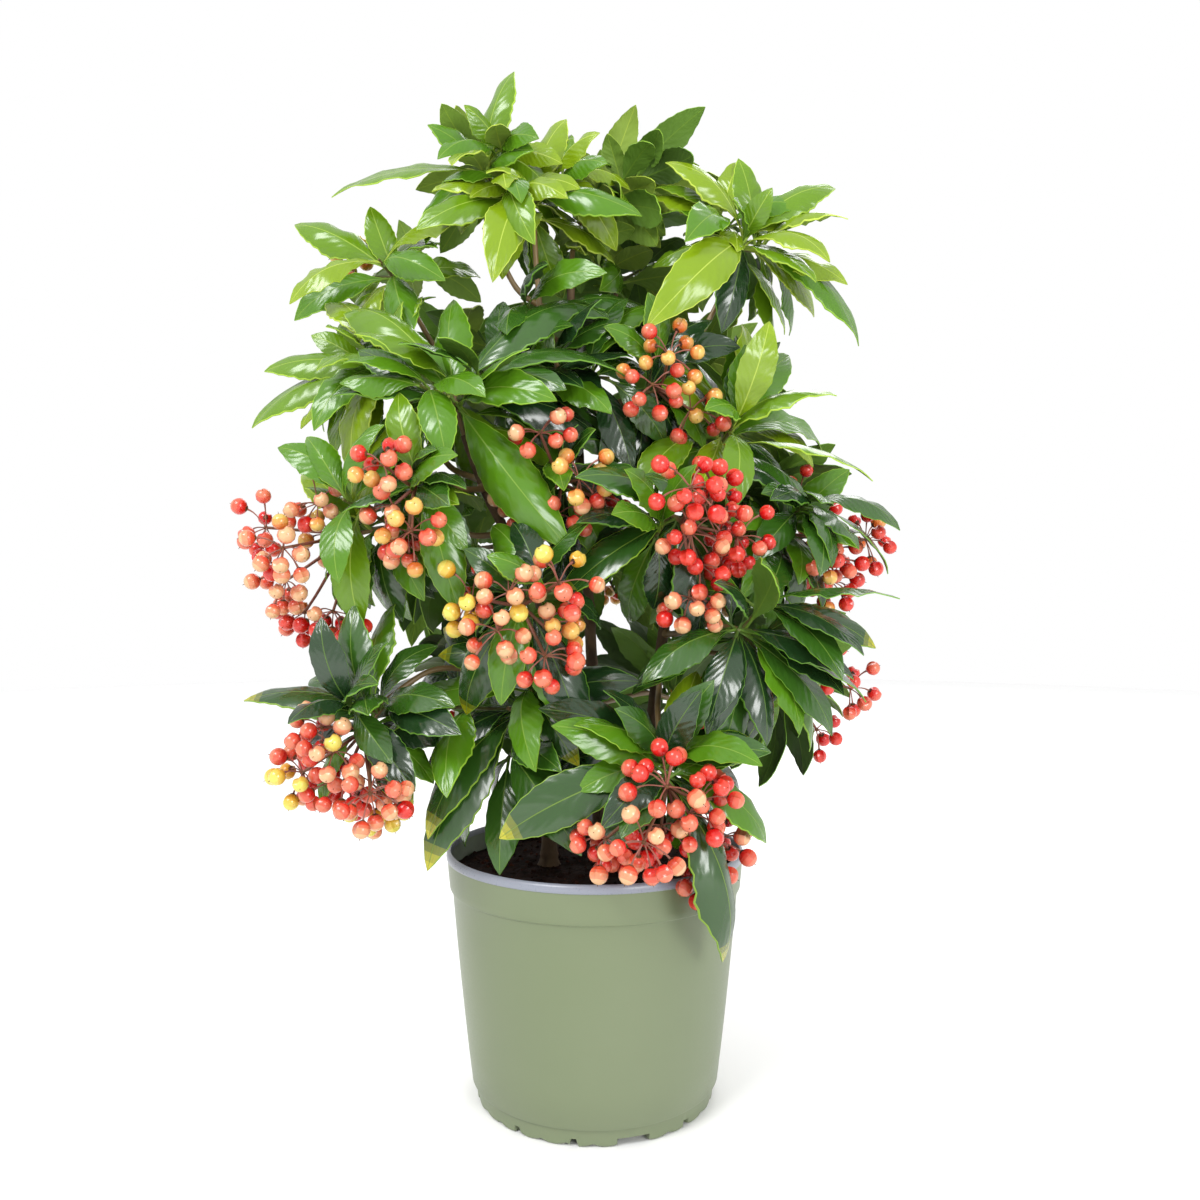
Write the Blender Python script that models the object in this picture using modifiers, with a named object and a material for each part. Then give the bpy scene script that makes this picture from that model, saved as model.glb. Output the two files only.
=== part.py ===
"""Coral ardisia in its green nursery pot, as separate solids for a library of reusable parts.

Metres and +Z up. The pot stands on the floor at z = 0 with its axis on the Z axis, and -Y faces
the viewer. Three woody stems rise from the soil. Boughs leave them, and each bough or stem tip
carries one mass: a twig with leaves, and on most of them umbels of berries, fused to one solid.
Tables below are in millimetres and degrees. An azimuth of 0 points right (+X), 90 to the back,
180 left and 270 to the viewer, and an elevation of 90 points up.
"""
import math
import random
from dataclasses import dataclass

import bmesh
import bpy
from mathutils import Matrix, Vector
from mathutils.bvhtree import BVHTree

MM = 0.001
GAP = 0.3 * MM
STRAIGHT = 1.0 * MM
UP = Vector((0.0, 0.0, 1.0))
GOLDEN_ANGLE = 137.5
MIDDLE_Y = 14.0

# Pot, from its underside up.
POT_HEIGHT = 106.5
RIM_RADIUS = 65.0
COLLAR_FOOT_Z = 90.7
COLLAR_FOOT_RADIUS = 63.4
WALL_TOP_RADIUS = 62.3
WALL_MIDDLE_Z = 65.0
WALL_MIDDLE_RADIUS = 60.0
WALL_FOOT_Z = 8.0
WALL_FOOT_RADIUS = 53.7
FOOT_RADIUS = 52.0
FOOT_INNER_RADIUS = 46.0
CENTRE_FOOT_RADIUS = 10.0
POT_WALL = 1.3
LIP_EDGE = 0.5
LIP_DROP = 0.8
LIP_INSET = 1.0
COLLAR_STEP = 0.5
FOOT_STEP = 0.6
FOOT_SLOPE = 1.5
NOTCH_INSET = 1.0
FLOOR_UNDER_Z = 3.0
FLOOR_TOP_Z = 5.4
FLOOR_EDGE_RADIUS = 50.2
INNER_STEP_Z = 9.6
POT_STEPS = 36
NOTCH_ANGLES = (-72.6, 47.4, 167.4)
NOTCH_WIDTH = 12.0
NOTCH_HEIGHT = 5.2
NOTCH_DEPTH = 9.0

SOIL_TOP_Z = 98.5
SOIL_CREST = 2.0
SOIL_CREST_RADIUS = 40.0
SOIL_GAP = 0.4
SOIL_EDGE_GAP = 2.2
SOIL_FLOOR_GAP = 0.3

# Limbs.
STEM_SIDES = 1
FOOT_HEIGHT = 3.0
FLARE_HEIGHT = 9.0
FLARE_RADIUS = 5.2
STEM_RADIUS = 3.1
STEM_TIP_RADIUS = 1.7
BOUGH_RADIUS = 1.5
BOUGH_TIP_RADIUS = 1.0
TWIG_RADIUS = 1.2
TWIG_TIP_RADIUS = 0.9
SIDE_TWIG_RADIUS = 0.8
SIDE_TWIG_LEAN = 58.0
LEAVES_PER_TWIG = 4
PEDUNCLE_RADIUS = 0.7
PEDICEL_RADIUS = 0.55

# Leaves and berries.
LEAF_STALK = 0.12
LEAF_WIDTH = 0.42
LEAF_STALK_WIDTH = 1.4
LEAF_SKEW = 0.9
LEAF_FULLNESS = 0.75
LEAF_THICKNESS = 1.1
LEAF_STALK_THICKNESS = 1.2
LEAF_RINGS = (0.34, 0.70)
PLAIN_LEAF_RINGS = (0.48,)
LEAF_CLEARANCE = 0.35
LEAF_TRIES = 26
LEAF_SHRINK = 0.014
BERRY_RADIUS = 3.9
BERRY_CLEARANCE = 0.3
BERRY_TRIES = 16
PEDICEL_LENGTH = 12.5
BERRY_STEP = 6

# Growth. A zone is the shares of a twig's length between which things stand on it.
LIMB_PULL = 0.4
BOUGH_ARCS = 3
TWIG_ARCS = 4
SIDE_TWIG_ZONE = (0.30, 0.75)
SIDE_TWIG_REACH = (0.9, 1.4)
TIP_LEAF_ZONE = (0.35, 0.95)
LEAF_ZONE = (0.25, 0.97)
SIDE_LEAF_ZONE = (0.55, 0.95)
LEAF_ANGLES = (104.0, 60.0)
LEAF_DROOP = 0.2
LEAF_REACH = (0.86, 1.0)
YOUNG_LEAF_LOSS = 0.3
LEAF_ROLL = 16.0
LEAF_BEND = (22.0, 62.0)
LEAF_FREE_FROM = 0.2
LEAF_OUTWARD = 0.5
LEAF_LEAN = 0.6
HIGH_LEAF_LEAN = 0.9
HIGH_LEAF_Z = 250.0
HIGH_LEAF_RISE = 150.0
TIP_LEAF_NUDGE = 5.0
LEAF_NUDGE = 9.0
STALK_REACH = (0.6, 1.5)
STALK_TRIES = 5
STALK_NUDGE = 33.0
STALK_DROOP = 0.2
STALK_SUNK = 0.4
PEDICEL_REACH = (0.8, 1.2)
PEDICEL_ANGLES = (12.0, 104.0)
PEDICEL_DROOP = 0.3
PEDICEL_SUNK = 0.3
PEDICEL_TURN = 12.0
PEDICEL_NUDGE = 40.0
ROD_FREE_FROM = 0.3
# An owner that nothing has, so that a test leaves nothing out.
NOBODY = ""
SOLVERS = ("MANIFOLD", "EXACT")
MERGE_DISTANCES = (0.6, 0.45, 0.3, 0.22, 0.15, 0.1, 0.06, 0.03, 0.01, 0.003)
TOUCH_DISTANCE = 0.001


@dataclass(frozen=True)
class Stem:
    """One woody stem: the places that it passes, from its foot on the soil to its tip."""

    name: str
    places: tuple


@dataclass(frozen=True)
class Shoot:
    """One mass of foliage and the bough that carries it.

    stem: the stem that it grows from.
    fork: height at which its bough leaves the stem, or None where it carries on the stem's tip.
    tip: end of its bough, or None where its twig leaves the stem itself.
    heading: azimuth and elevation of the twig.
    twig: length of the twig.
    leaves: how many leaves stand on it by the golden angle.
    blade: length of its largest leaf.
    leaf_tips: where the leaves that stand out in the photo end.
    umbels: how many umbels end the twig.
    berries: how many berries an umbel has.
    fan: angle by which the umbels spread.
    stalk: length of an umbel's stalk.
    """

    name: str
    stem: str
    fork: float
    tip: tuple
    heading: tuple
    twig: float
    leaves: int
    blade: float
    leaf_tips: tuple = ()
    umbels: int = 0
    berries: int = 0
    fan: float = 55.0
    stalk: float = 17.0


STEMS = (
    Stem("left", ((-20, -4, 98.8), (-20, -4, 128), (-19, -4, 156), (-21, -6, 186), (-24, -8, 214),
                  (-36, -15, 240), (-46, -22, 260), (-54, -28, 283))),
    Stem("right", ((22, -2, 98.8), (23, -2, 130), (25, -2, 160), (28, -2, 186), (32, -2, 210),
                   (38, -2, 234), (44, -2, 254), (51, -2, 272))),
    Stem("centre", ((2, 22, 98.8), (1, 22, 132), (-1, 21, 172), (-3, 20, 214), (-6, 19, 260),
                    (-9, 18, 306), (-11, 16, 340), (-11, 16, 368))),
)

SHOOTS = (
    Shoot("crown_left", "left", None, None, (240, 80), 20, 12, 52,
          ((-55, -20, 349), (-103, -48, 297), (12, -32, 313), (-16, -62, 293), (-3, -12, 347),
           (-12, -58, 236), (6, -18, 286), (-109, -8, 342), (-102, -32, 251), (-33, 0, 333))),
    Shoot("crown_far_left", "left", 266, (-84, -14, 308), (170, 55), 12, 8, 50,
          ((-142, -15, 316), (-150, -25, 294), (-117, -38, 283), (-101, -36, 267),
           (-120, 10, 350))),
    Shoot("crown_peak", "centre", 345, (-48, 8, 398), (120, 80), 14, 10, 46,
          ((-37, 4, 451), (-71, -8, 422), (-117, 0, 395), (-87, -14, 376), (-16, 20, 422))),
    Shoot("crown_top_left", "centre", 330, (-27, 2, 378), (200, 82), 18, 14, 46,
          ((-14, 10, 433), (8, 6, 426), (-69, -14, 393), (-73, -26, 370), (-46, -38, 351),
           (18, -22, 380), (-14, -30, 358))),
    Shoot("crown_top_right", "centre", None, None, (12, 12), 54, 3, 46,
          ((24, 62, 408), (10, -16, 386), (-6, 46, 424), (30, -14, 380), (50, 56, 404),
           (18, 18, 441), (40, 42, 440), (60, 34, 424), (56, 18, 434), (44, -8, 408),
           (69, 4, 392))),
    Shoot("crown_top_back", "centre", 322, (10, 56, 366), (80, 60), 16, 15, 54),
    Shoot("crown_right_high", "centre", 300, (62, -2, 364), (40, 65), 14, 10, 50,
          ((106, 0, 398), (92, -28, 349), (119, -6, 331), (110, 12, 350), (24, -38, 329),
           (56, -12, 332), (23, -4, 411), (44, 24, 432))),
    Shoot("crown_left_high", "centre", 292, (-86, 10, 352), (160, 60), 15, 12, 48,
          ((-101, 6, 391), (-109, -14, 323), (-136, 4, 344), (-137, 12, 387), (-79, -16, 327),
           (-74, 36, 388)), 1, 6, 30),
    Shoot("crown_right", "right", None, None, (50, 78), 18, 12, 54,
          ((69, 2, 338), (104, -14, 309), (116, -28, 268), (20, 12, 337), (33, -10, 331),
           (71, -34, 259), (43, -32, 260), (92, 30, 332))),
    Shoot("crown_middle", "centre", 314, None, (250, 35), 26, 16, 54),
    Shoot("crown_back_left", "centre", 275, (-50, 58, 316), (125, 55), 16, 14, 58),
    Shoot("crown_back_right", "centre", 262, (50, 56, 300), (55, 55), 16, 14, 58),
    Shoot("spray_left", "left", 244, (-76, -20, 248), (190, -14), 22, 8, 46,
          ((-90, -14, 210), (-82, -20, 205), (-127, -10, 270)), 7, 9, 62, 30),
    Shoot("spray_left_low", "left", 184, (-84, -36, 174), (215, -50), 12, 8, 52,
          ((-139, -46, 176), (-82, -24, 214), (-96, -50, 212), (-74, -40, 130)), 8, 10, 68, 26),
    Shoot("spray_front_low", "right", 182, (26, -50, 156), (280, -52), 14, 3, 50,
          ((-37, -62, 125), (41, -44, 187), (68, -54, 121), (54, -64, 77)), 9, 9, 76, 26),
    Shoot("spray_front", "left", 226, (-26, -42, 218), (262, -22), 14, 8, 48,
          ((-36, -64, 176), (-3, -60, 160), (-58, -40, 170)), 6, 8, 80, 22),
    Shoot("spray_centre", "centre", 262, (-12, -18, 268), (262, -24), 12, 10, 46,
          ((-45, -44, 212), (6, -34, 230)), 5, 8, 78, 21),
    Shoot("spray_centre_right", "right", 240, (28, -30, 252), (300, -24), 14, 8, 48,
          ((42, -40, 198), (-14, -50, 216)), 8, 9, 74, 22),
    Shoot("spray_right", "right", 232, (72, 2, 246), (350, -10), 14, 8, 50,
          ((113, -14, 238), (96, -24, 212), (93, 10, 204)), 6, 9, 52, 27),
    Shoot("spray_under_left", "left", 262, (-64, -44, 262), (235, -20), 10, 5, 46,
          ((-53, -56, 211), (-98, -56, 250)), 4, 8, 66, 20),
    Shoot("spray_under_right", "right", 256, (64, 24, 264), (30, 0), 12, 8, 50,
          ((118, 20, 274),), 3, 7, 60, 24),
    Shoot("spray_upper_centre", "centre", 288, (16, -2, 304), (330, 8), 12, 8, 48,
          ((20, 4, 348), (40, -20, 328)), 4, 8, 84, 26),
    Shoot("spray_right_low", "right", 192, (68, 26, 188), (12, -12), 14, 9, 56,
          ((76, 10, 130), (97, 20, 134), (123, 40, 170)), 4, 7, 56, 28),
    Shoot("spray_back_left", "left", 234, (-56, 52, 240), (140, -6), 16, 8, 58, (), 3, 8),
    Shoot("spray_back", "centre", 228, (2, 74, 236), (90, -6), 16, 8, 58, (), 3, 8),
    Shoot("spray_back_right", "right", 218, (58, 60, 228), (48, -6), 16, 8, 58, (), 3, 8),
    Shoot("spray_back_low_left", "centre", 176, (-48, 62, 172), (130, -20), 14, 9, 60, (), 3, 8),
    Shoot("spray_back_low_right", "centre", 166, (38, 70, 164), (62, -20), 14, 7, 60, (), 3, 8),
    Shoot("skirt_left", "left", 168, None, (232, 12), 24, 12, 62,
          ((-67, -46, 121), (-76, -52, 108), (-24, -44, 137), (-66, -20, 112), (-12, -44, 160))),
    Shoot("skirt_right", "right", 200, (52, -28, 204), (330, -10), 14, 12, 60,
          ((4, -52, 202), (69, -50, 158), (55, -50, 148), (41, -56, 162), (92, -24, 152),
           (20, -46, 150), (95, 0, 165))),
)


def between(zone, share):
    """Return the value at a share of the way through a zone."""
    low, high = zone
    return low + (high - low) * share


def bearing(azimuth, elevation):
    """Return the unit vector of an azimuth and an elevation in degrees."""
    level = math.cos(math.radians(elevation))
    return Vector((level * math.cos(math.radians(azimuth)),
                   level * math.sin(math.radians(azimuth)),
                   math.sin(math.radians(elevation))))


def tilted(axis, turn, tilt):
    """Return axis leaned over by tilt degrees, towards the side that turn degrees gives."""
    side = axis.orthogonal().normalized()
    side.rotate(Matrix.Rotation(math.radians(turn), 3, axis))
    return (axis * math.cos(math.radians(tilt)) + side * math.sin(math.radians(tilt))).normalized()


def smooth_path(places, samples):
    """Return points on a smooth curve through the given places, samples to each stretch."""
    ends = [2 * places[0] - places[1], *places, 2 * places[-1] - places[-2]]
    points = []
    for before, start, end, after in zip(ends, ends[1:], ends[2:], ends[3:]):
        for step in range(samples):
            t = step / samples
            points.append(0.5 * (2 * start + (end - before) * t
                                 + (2 * before - 5 * start + 4 * end - after) * t * t
                                 + (3 * start - before - 3 * end + after) * t ** 3))
    return [*points, places[-1].copy()]


def arched_path(start, leave, end, arrive, count):
    """Return points of a curve that leaves start and arrives at end in the given directions."""
    pull = (end - start).length * LIMB_PULL
    handles = (start, start + leave * pull, end - arrive * pull, end)
    points = []
    for step in range(count + 1):
        t = step / count
        weights = ((1 - t) ** 3, 3 * t * (1 - t) ** 2, 3 * t * t * (1 - t), t ** 3)
        points.append(sum((w * h for w, h in zip(weights, handles)), Vector()))
    return points


class Shape:
    """Vertices and faces of a small closed solid, to be placed many times."""

    def __init__(self, mesh):
        self.spots = [v.co.copy() for v in mesh.verts]
        self.faces = [tuple(v.index for v in f.verts) for f in mesh.faces]
        mesh.free()


def leaf_blank(rings):
    """Return a leaf as a three-sided spindle: x is its side, y its face and z runs root to tip."""
    mesh = bmesh.new()
    bmesh.ops.create_cone(mesh, cap_ends=True, segments=3, radius1=1.0, radius2=0.0, depth=1.0,
                          matrix=Matrix.Translation((0.0, 0.0, 0.5)))
    bmesh.ops.remove_doubles(mesh, verts=mesh.verts, dist=1e-4)
    for ring in rings:
        bmesh.ops.bisect_plane(mesh, geom=[*mesh.verts, *mesh.edges, *mesh.faces],
                               plane_co=(0.0, 0.0, ring), plane_no=(0.0, 0.0, 1.0))
    for vert in mesh.verts:
        reach = math.hypot(vert.co.x, vert.co.y)
        if reach > 1e-4:
            vert.co.x /= reach
            vert.co.y /= reach
    mesh.verts.index_update()
    return Shape(mesh)


def rod_blank():
    """Return a three-sided rod of radius 1 whose z runs from 0 to 1."""
    mesh = bmesh.new()
    bmesh.ops.create_cone(mesh, cap_ends=True, segments=3, radius1=1.0, radius2=1.0, depth=1.0,
                          matrix=Matrix.Translation((0.0, 0.0, 0.5)))
    return Shape(mesh)


def berry_blank():
    """Return a ball of radius 1."""
    mesh = bmesh.new()
    bmesh.ops.create_icosphere(mesh, subdivisions=1, radius=1.0)
    return Shape(mesh)


@dataclass(frozen=True)
class Leaf:
    """One leaf: an arched blade from its root to its tip, on a short stalk."""

    root: Vector
    chord: Vector
    normal: Vector
    length: float
    bend: float
    blank: Shape

    def centre(self, share):
        """Return the middle of the blade at a share of its length."""
        half = self.bend / 2
        angle = half - self.bend * share
        along = (math.sin(half) - math.sin(angle)) / self.bend
        rise = (math.cos(angle) - math.cos(half)) / self.bend
        return self.root + (self.chord * along + self.normal * rise) * self.length

    def corners(self, start=0.0, clearance=0.0):
        """Return the corners of the leaf from a share of its length on, grown by a clearance."""
        across = self.normal.cross(self.chord)
        corners = []
        for spot in self.blank.spots:
            share = start + (1 - start) * spot.z
            blade = max(share - LEAF_STALK, 0.0) / (1 - LEAF_STALK)
            swell = max(math.sin(math.pi * blade ** LEAF_SKEW), 0.0) ** LEAF_FULLNESS
            width = LEAF_WIDTH * self.length * swell + LEAF_STALK_WIDTH * MM * (1 - share)
            depth = between((LEAF_STALK_THICKNESS, LEAF_THICKNESS), share) * MM
            side = across * spot.x * (width / 2 + clearance)
            face = self.normal * spot.y * (depth / 2 + clearance)
            corners.append(self.centre(share) + side + face)
        return corners


@dataclass(frozen=True)
class Rod:
    """A straight piece of twig or stalk between two points."""

    start: Vector
    end: Vector
    radius: float

    def corners(self, blank, start=0.0):
        """Return the rod's corners, from a share of its length on."""
        run = self.end - self.start
        turn = run.to_track_quat("Z", "Y").to_matrix()
        corners = []
        for spot in blank.spots:
            share = start + (1 - start) * spot.z
            side = Vector((spot.x * self.radius, spot.y * self.radius, 0.0))
            corners.append(self.start + run * share + turn @ side)
        return corners


@dataclass(frozen=True)
class Fruit:
    """One berry at the end of its stalk."""

    stalk: Rod
    centre: Vector

    def corners(self, blank, clearance=0.0):
        """Return the corners of the berry, grown by a clearance."""
        return [self.centre + spot * (BERRY_RADIUS * MM + clearance) for spot in blank.spots]


class Space:
    """What already stands somewhere, so that nothing else grows through it."""

    def __init__(self):
        self.taken = []

    def add(self, corners, faces, owner):
        """Take up the space of a solid that belongs to owner."""
        self.taken.append((*self.ball(corners), BVHTree.FromPolygons(corners, faces), owner))

    def clear(self, corners, faces, own=None):
        """Tell whether a solid touches nothing but what belongs to own."""
        middle, reach = self.ball(corners)
        tree = BVHTree.FromPolygons(corners, faces)
        for other_middle, other_reach, other_tree, owner in self.taken:
            if owner == own or (middle - other_middle).length > reach + other_reach:
                continue
            if tree.overlap(other_tree):
                return False
        return True

    @staticmethod
    def ball(corners):
        """Return the centre and radius of a ball round some points."""
        middle = sum(corners, Vector()) / len(corners)
        return middle, max((corner - middle).length for corner in corners)


def new_object(name, mesh, collection, finish=None):
    """Put a mesh in the scene as a named object and return the object."""
    thing = bpy.data.objects.new(name, mesh)
    if finish:
        thing.data.materials.clear()
        thing.data.materials.append(finish)
    collection.objects.link(thing)
    return thing


def material(name, colour, roughness):
    """Return a Principled material with a colour and a roughness."""
    finish = bpy.data.materials.new(name)
    finish.use_nodes = True
    shader = finish.node_tree.nodes["Principled BSDF"]
    shader.inputs["Base Color"].default_value = (*colour, 1.0)
    shader.inputs["Roughness"].default_value = roughness
    shader.inputs["Metallic"].default_value = 0.0
    return finish


def mesh_of(thing):
    """Return the mesh of an object with its modifiers and curves worked out."""
    bpy.context.view_layer.update()
    return bpy.data.meshes.new_from_object(thing.evaluated_get(bpy.context.evaluated_depsgraph_get()))


def settle(thing):
    """Apply the modifiers of a mesh object."""
    shaped = mesh_of(thing)
    thing.modifiers.clear()
    thing.data = shaped


def tube(name, points, radii, resolution, collection, finish=None):
    """Return a closed tube along points, as thick at each as its radius says."""
    curve = bpy.data.curves.new(name, "CURVE")
    curve.dimensions = "3D"
    curve.bevel_depth = 1.0
    curve.bevel_resolution = resolution
    curve.use_fill_caps = True
    line = curve.splines.new("POLY")
    line.points.add(len(points) - 1)
    for spot, place, radius in zip(line.points, points, radii):
        spot.co = (*place, 1.0)
        spot.radius = radius
    path = new_object(name + "_path", curve, collection)
    mesh = mesh_of(path)
    bpy.data.objects.remove(path)
    solid = bmesh.new()
    solid.from_mesh(mesh)
    bmesh.ops.remove_doubles(solid, verts=solid.verts, dist=1e-6)
    bmesh.ops.recalc_face_normals(solid, faces=solid.faces)
    solid.to_mesh(mesh)
    solid.free()
    return new_object(name, mesh, collection, finish)


def turned(name, profile, steps, collection, finish):
    """Return a solid turned about the Z axis from radius and height pairs, inside to outside."""
    outline = bmesh.new()
    corners = [outline.verts.new((radius * MM, 0.0, height * MM)) for radius, height in profile]
    for start, end in zip(corners, corners[1:]):
        outline.edges.new((start, end))
    mesh = bpy.data.meshes.new(name)
    outline.to_mesh(mesh)
    outline.free()
    thing = new_object(name, mesh, collection, finish)
    screw = thing.modifiers.new("Turn", "SCREW")
    screw.steps = steps
    screw.render_steps = steps
    screw.use_merge_vertices = True
    screw.merge_threshold = 0.00001
    settle(thing)
    return thing


def make_pot(collection, cutters, finish):
    """Turn the pot with its collar, lip and foot ring, and cut the foot's notches."""
    inner_collar = COLLAR_FOOT_RADIUS - POT_WALL
    profile = (
        (0.0, FLOOR_TOP_Z), (FLOOR_EDGE_RADIUS, FLOOR_TOP_Z),
        (WALL_FOOT_RADIUS - POT_WALL, INNER_STEP_Z), (WALL_MIDDLE_RADIUS - POT_WALL, WALL_MIDDLE_Z),
        (inner_collar, COLLAR_FOOT_Z), (RIM_RADIUS - POT_WALL - LIP_INSET, POT_HEIGHT - LIP_DROP),
        (RIM_RADIUS - POT_WALL - LIP_EDGE, POT_HEIGHT), (RIM_RADIUS - LIP_EDGE, POT_HEIGHT),
        (RIM_RADIUS, POT_HEIGHT - LIP_EDGE), (COLLAR_FOOT_RADIUS, COLLAR_FOOT_Z),
        (WALL_TOP_RADIUS, COLLAR_FOOT_Z - COLLAR_STEP), (WALL_MIDDLE_RADIUS, WALL_MIDDLE_Z),
        (WALL_FOOT_RADIUS, WALL_FOOT_Z), (FOOT_RADIUS, WALL_FOOT_Z - FOOT_STEP),
        (FOOT_RADIUS - FOOT_STEP, 0.0), (FOOT_INNER_RADIUS, 0.0),
        (FOOT_INNER_RADIUS - FOOT_SLOPE, FLOOR_UNDER_Z),
        (CENTRE_FOOT_RADIUS + FOOT_SLOPE, FLOOR_UNDER_Z), (CENTRE_FOOT_RADIUS, 0.0), (0.0, 0.0),
    )
    pot = turned("pot", profile, POT_STEPS, collection, finish)
    for number, angle in enumerate(NOTCH_ANGLES):
        outward = bearing(angle, 0.0)
        place = Matrix.Translation(outward * (FOOT_RADIUS - NOTCH_INSET) * MM)
        turn = Matrix.Rotation(math.radians(angle), 4, "Z")
        size = Matrix.Diagonal((NOTCH_DEPTH * MM, NOTCH_WIDTH * MM, 2 * NOTCH_HEIGHT * MM, 1.0))
        block = bmesh.new()
        bmesh.ops.create_cube(block, size=1.0, matrix=place @ turn @ size)
        mesh = bpy.data.meshes.new(f"notch_{number}")
        block.to_mesh(mesh)
        block.free()
        new_object(f"notch_{number}", mesh, cutters)
    cut = pot.modifiers.new("Notches", "BOOLEAN")
    cut.operation = "DIFFERENCE"
    cut.operand_type = "COLLECTION"
    cut.collection = cutters
    settle(pot)
    clear_out(cutters)
    return pot


def make_soil(collection, finish):
    """Turn the soil that fills the pot, a little higher in the middle."""
    spare = POT_WALL + SOIL_GAP
    floor_z = FLOOR_TOP_Z + SOIL_FLOOR_GAP
    profile = (
        (0.0, SOIL_TOP_Z), (SOIL_CREST_RADIUS, SOIL_TOP_Z),
        (RIM_RADIUS - POT_WALL - SOIL_EDGE_GAP, SOIL_TOP_Z - SOIL_CREST),
        (COLLAR_FOOT_RADIUS - spare, COLLAR_FOOT_Z), (WALL_MIDDLE_RADIUS - spare, WALL_MIDDLE_Z),
        (WALL_FOOT_RADIUS - spare, INNER_STEP_Z), (FLOOR_EDGE_RADIUS - SOIL_GAP, floor_z),
        (0.0, floor_z),
    )
    return turned("soil", profile, POT_STEPS, collection, finish)


def clear_out(collection):
    """Remove every object of a collection."""
    for thing in list(collection.objects):
        bpy.data.objects.remove(thing)


class StemPath:
    """The line and the thickness of one stem."""

    def __init__(self, stem):
        self.name = stem.name
        foot, *rest = [Vector(place) * MM for place in stem.places]
        self.points = [foot, *smooth_path([foot + UP * FOOT_HEIGHT * MM, *rest], 2)]
        foot, top = self.points[0].z, self.points[-1].z
        self.radii = [self.radius((point.z - foot) / (top - foot), point.z - foot)
                      for point in self.points]

    @staticmethod
    def radius(share, height):
        """Return the stem's radius at a share of its height, with the flare at its foot."""
        flare = max(0.0, 1 - height / (FLARE_HEIGHT * MM)) ** 2 * (FLARE_RADIUS - STEM_RADIUS)
        return (between((STEM_RADIUS, STEM_TIP_RADIUS), share) + flare) * MM

    def at(self, height):
        """Return the place, direction and radius of the stem at a height."""
        for number, (low, high) in enumerate(zip(self.points, self.points[1:])):
            if low.z <= height <= high.z:
                share = (height - low.z) / (high.z - low.z)
                radius = self.radii[number] * (1 - share) + self.radii[number + 1] * share
                return low.lerp(high, share), (high - low).normalized(), radius
        raise ValueError(f"the stem {self.name} doesn't pass {height}")

    def fork(self, height, towards):
        """Return where a limb leaves the stem's side towards a point, and its direction."""
        place, along, radius = self.at(height)
        outward = towards - place
        outward = (outward - along * outward.dot(along)).normalized()
        return place + outward * (radius + GAP), outward


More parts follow.
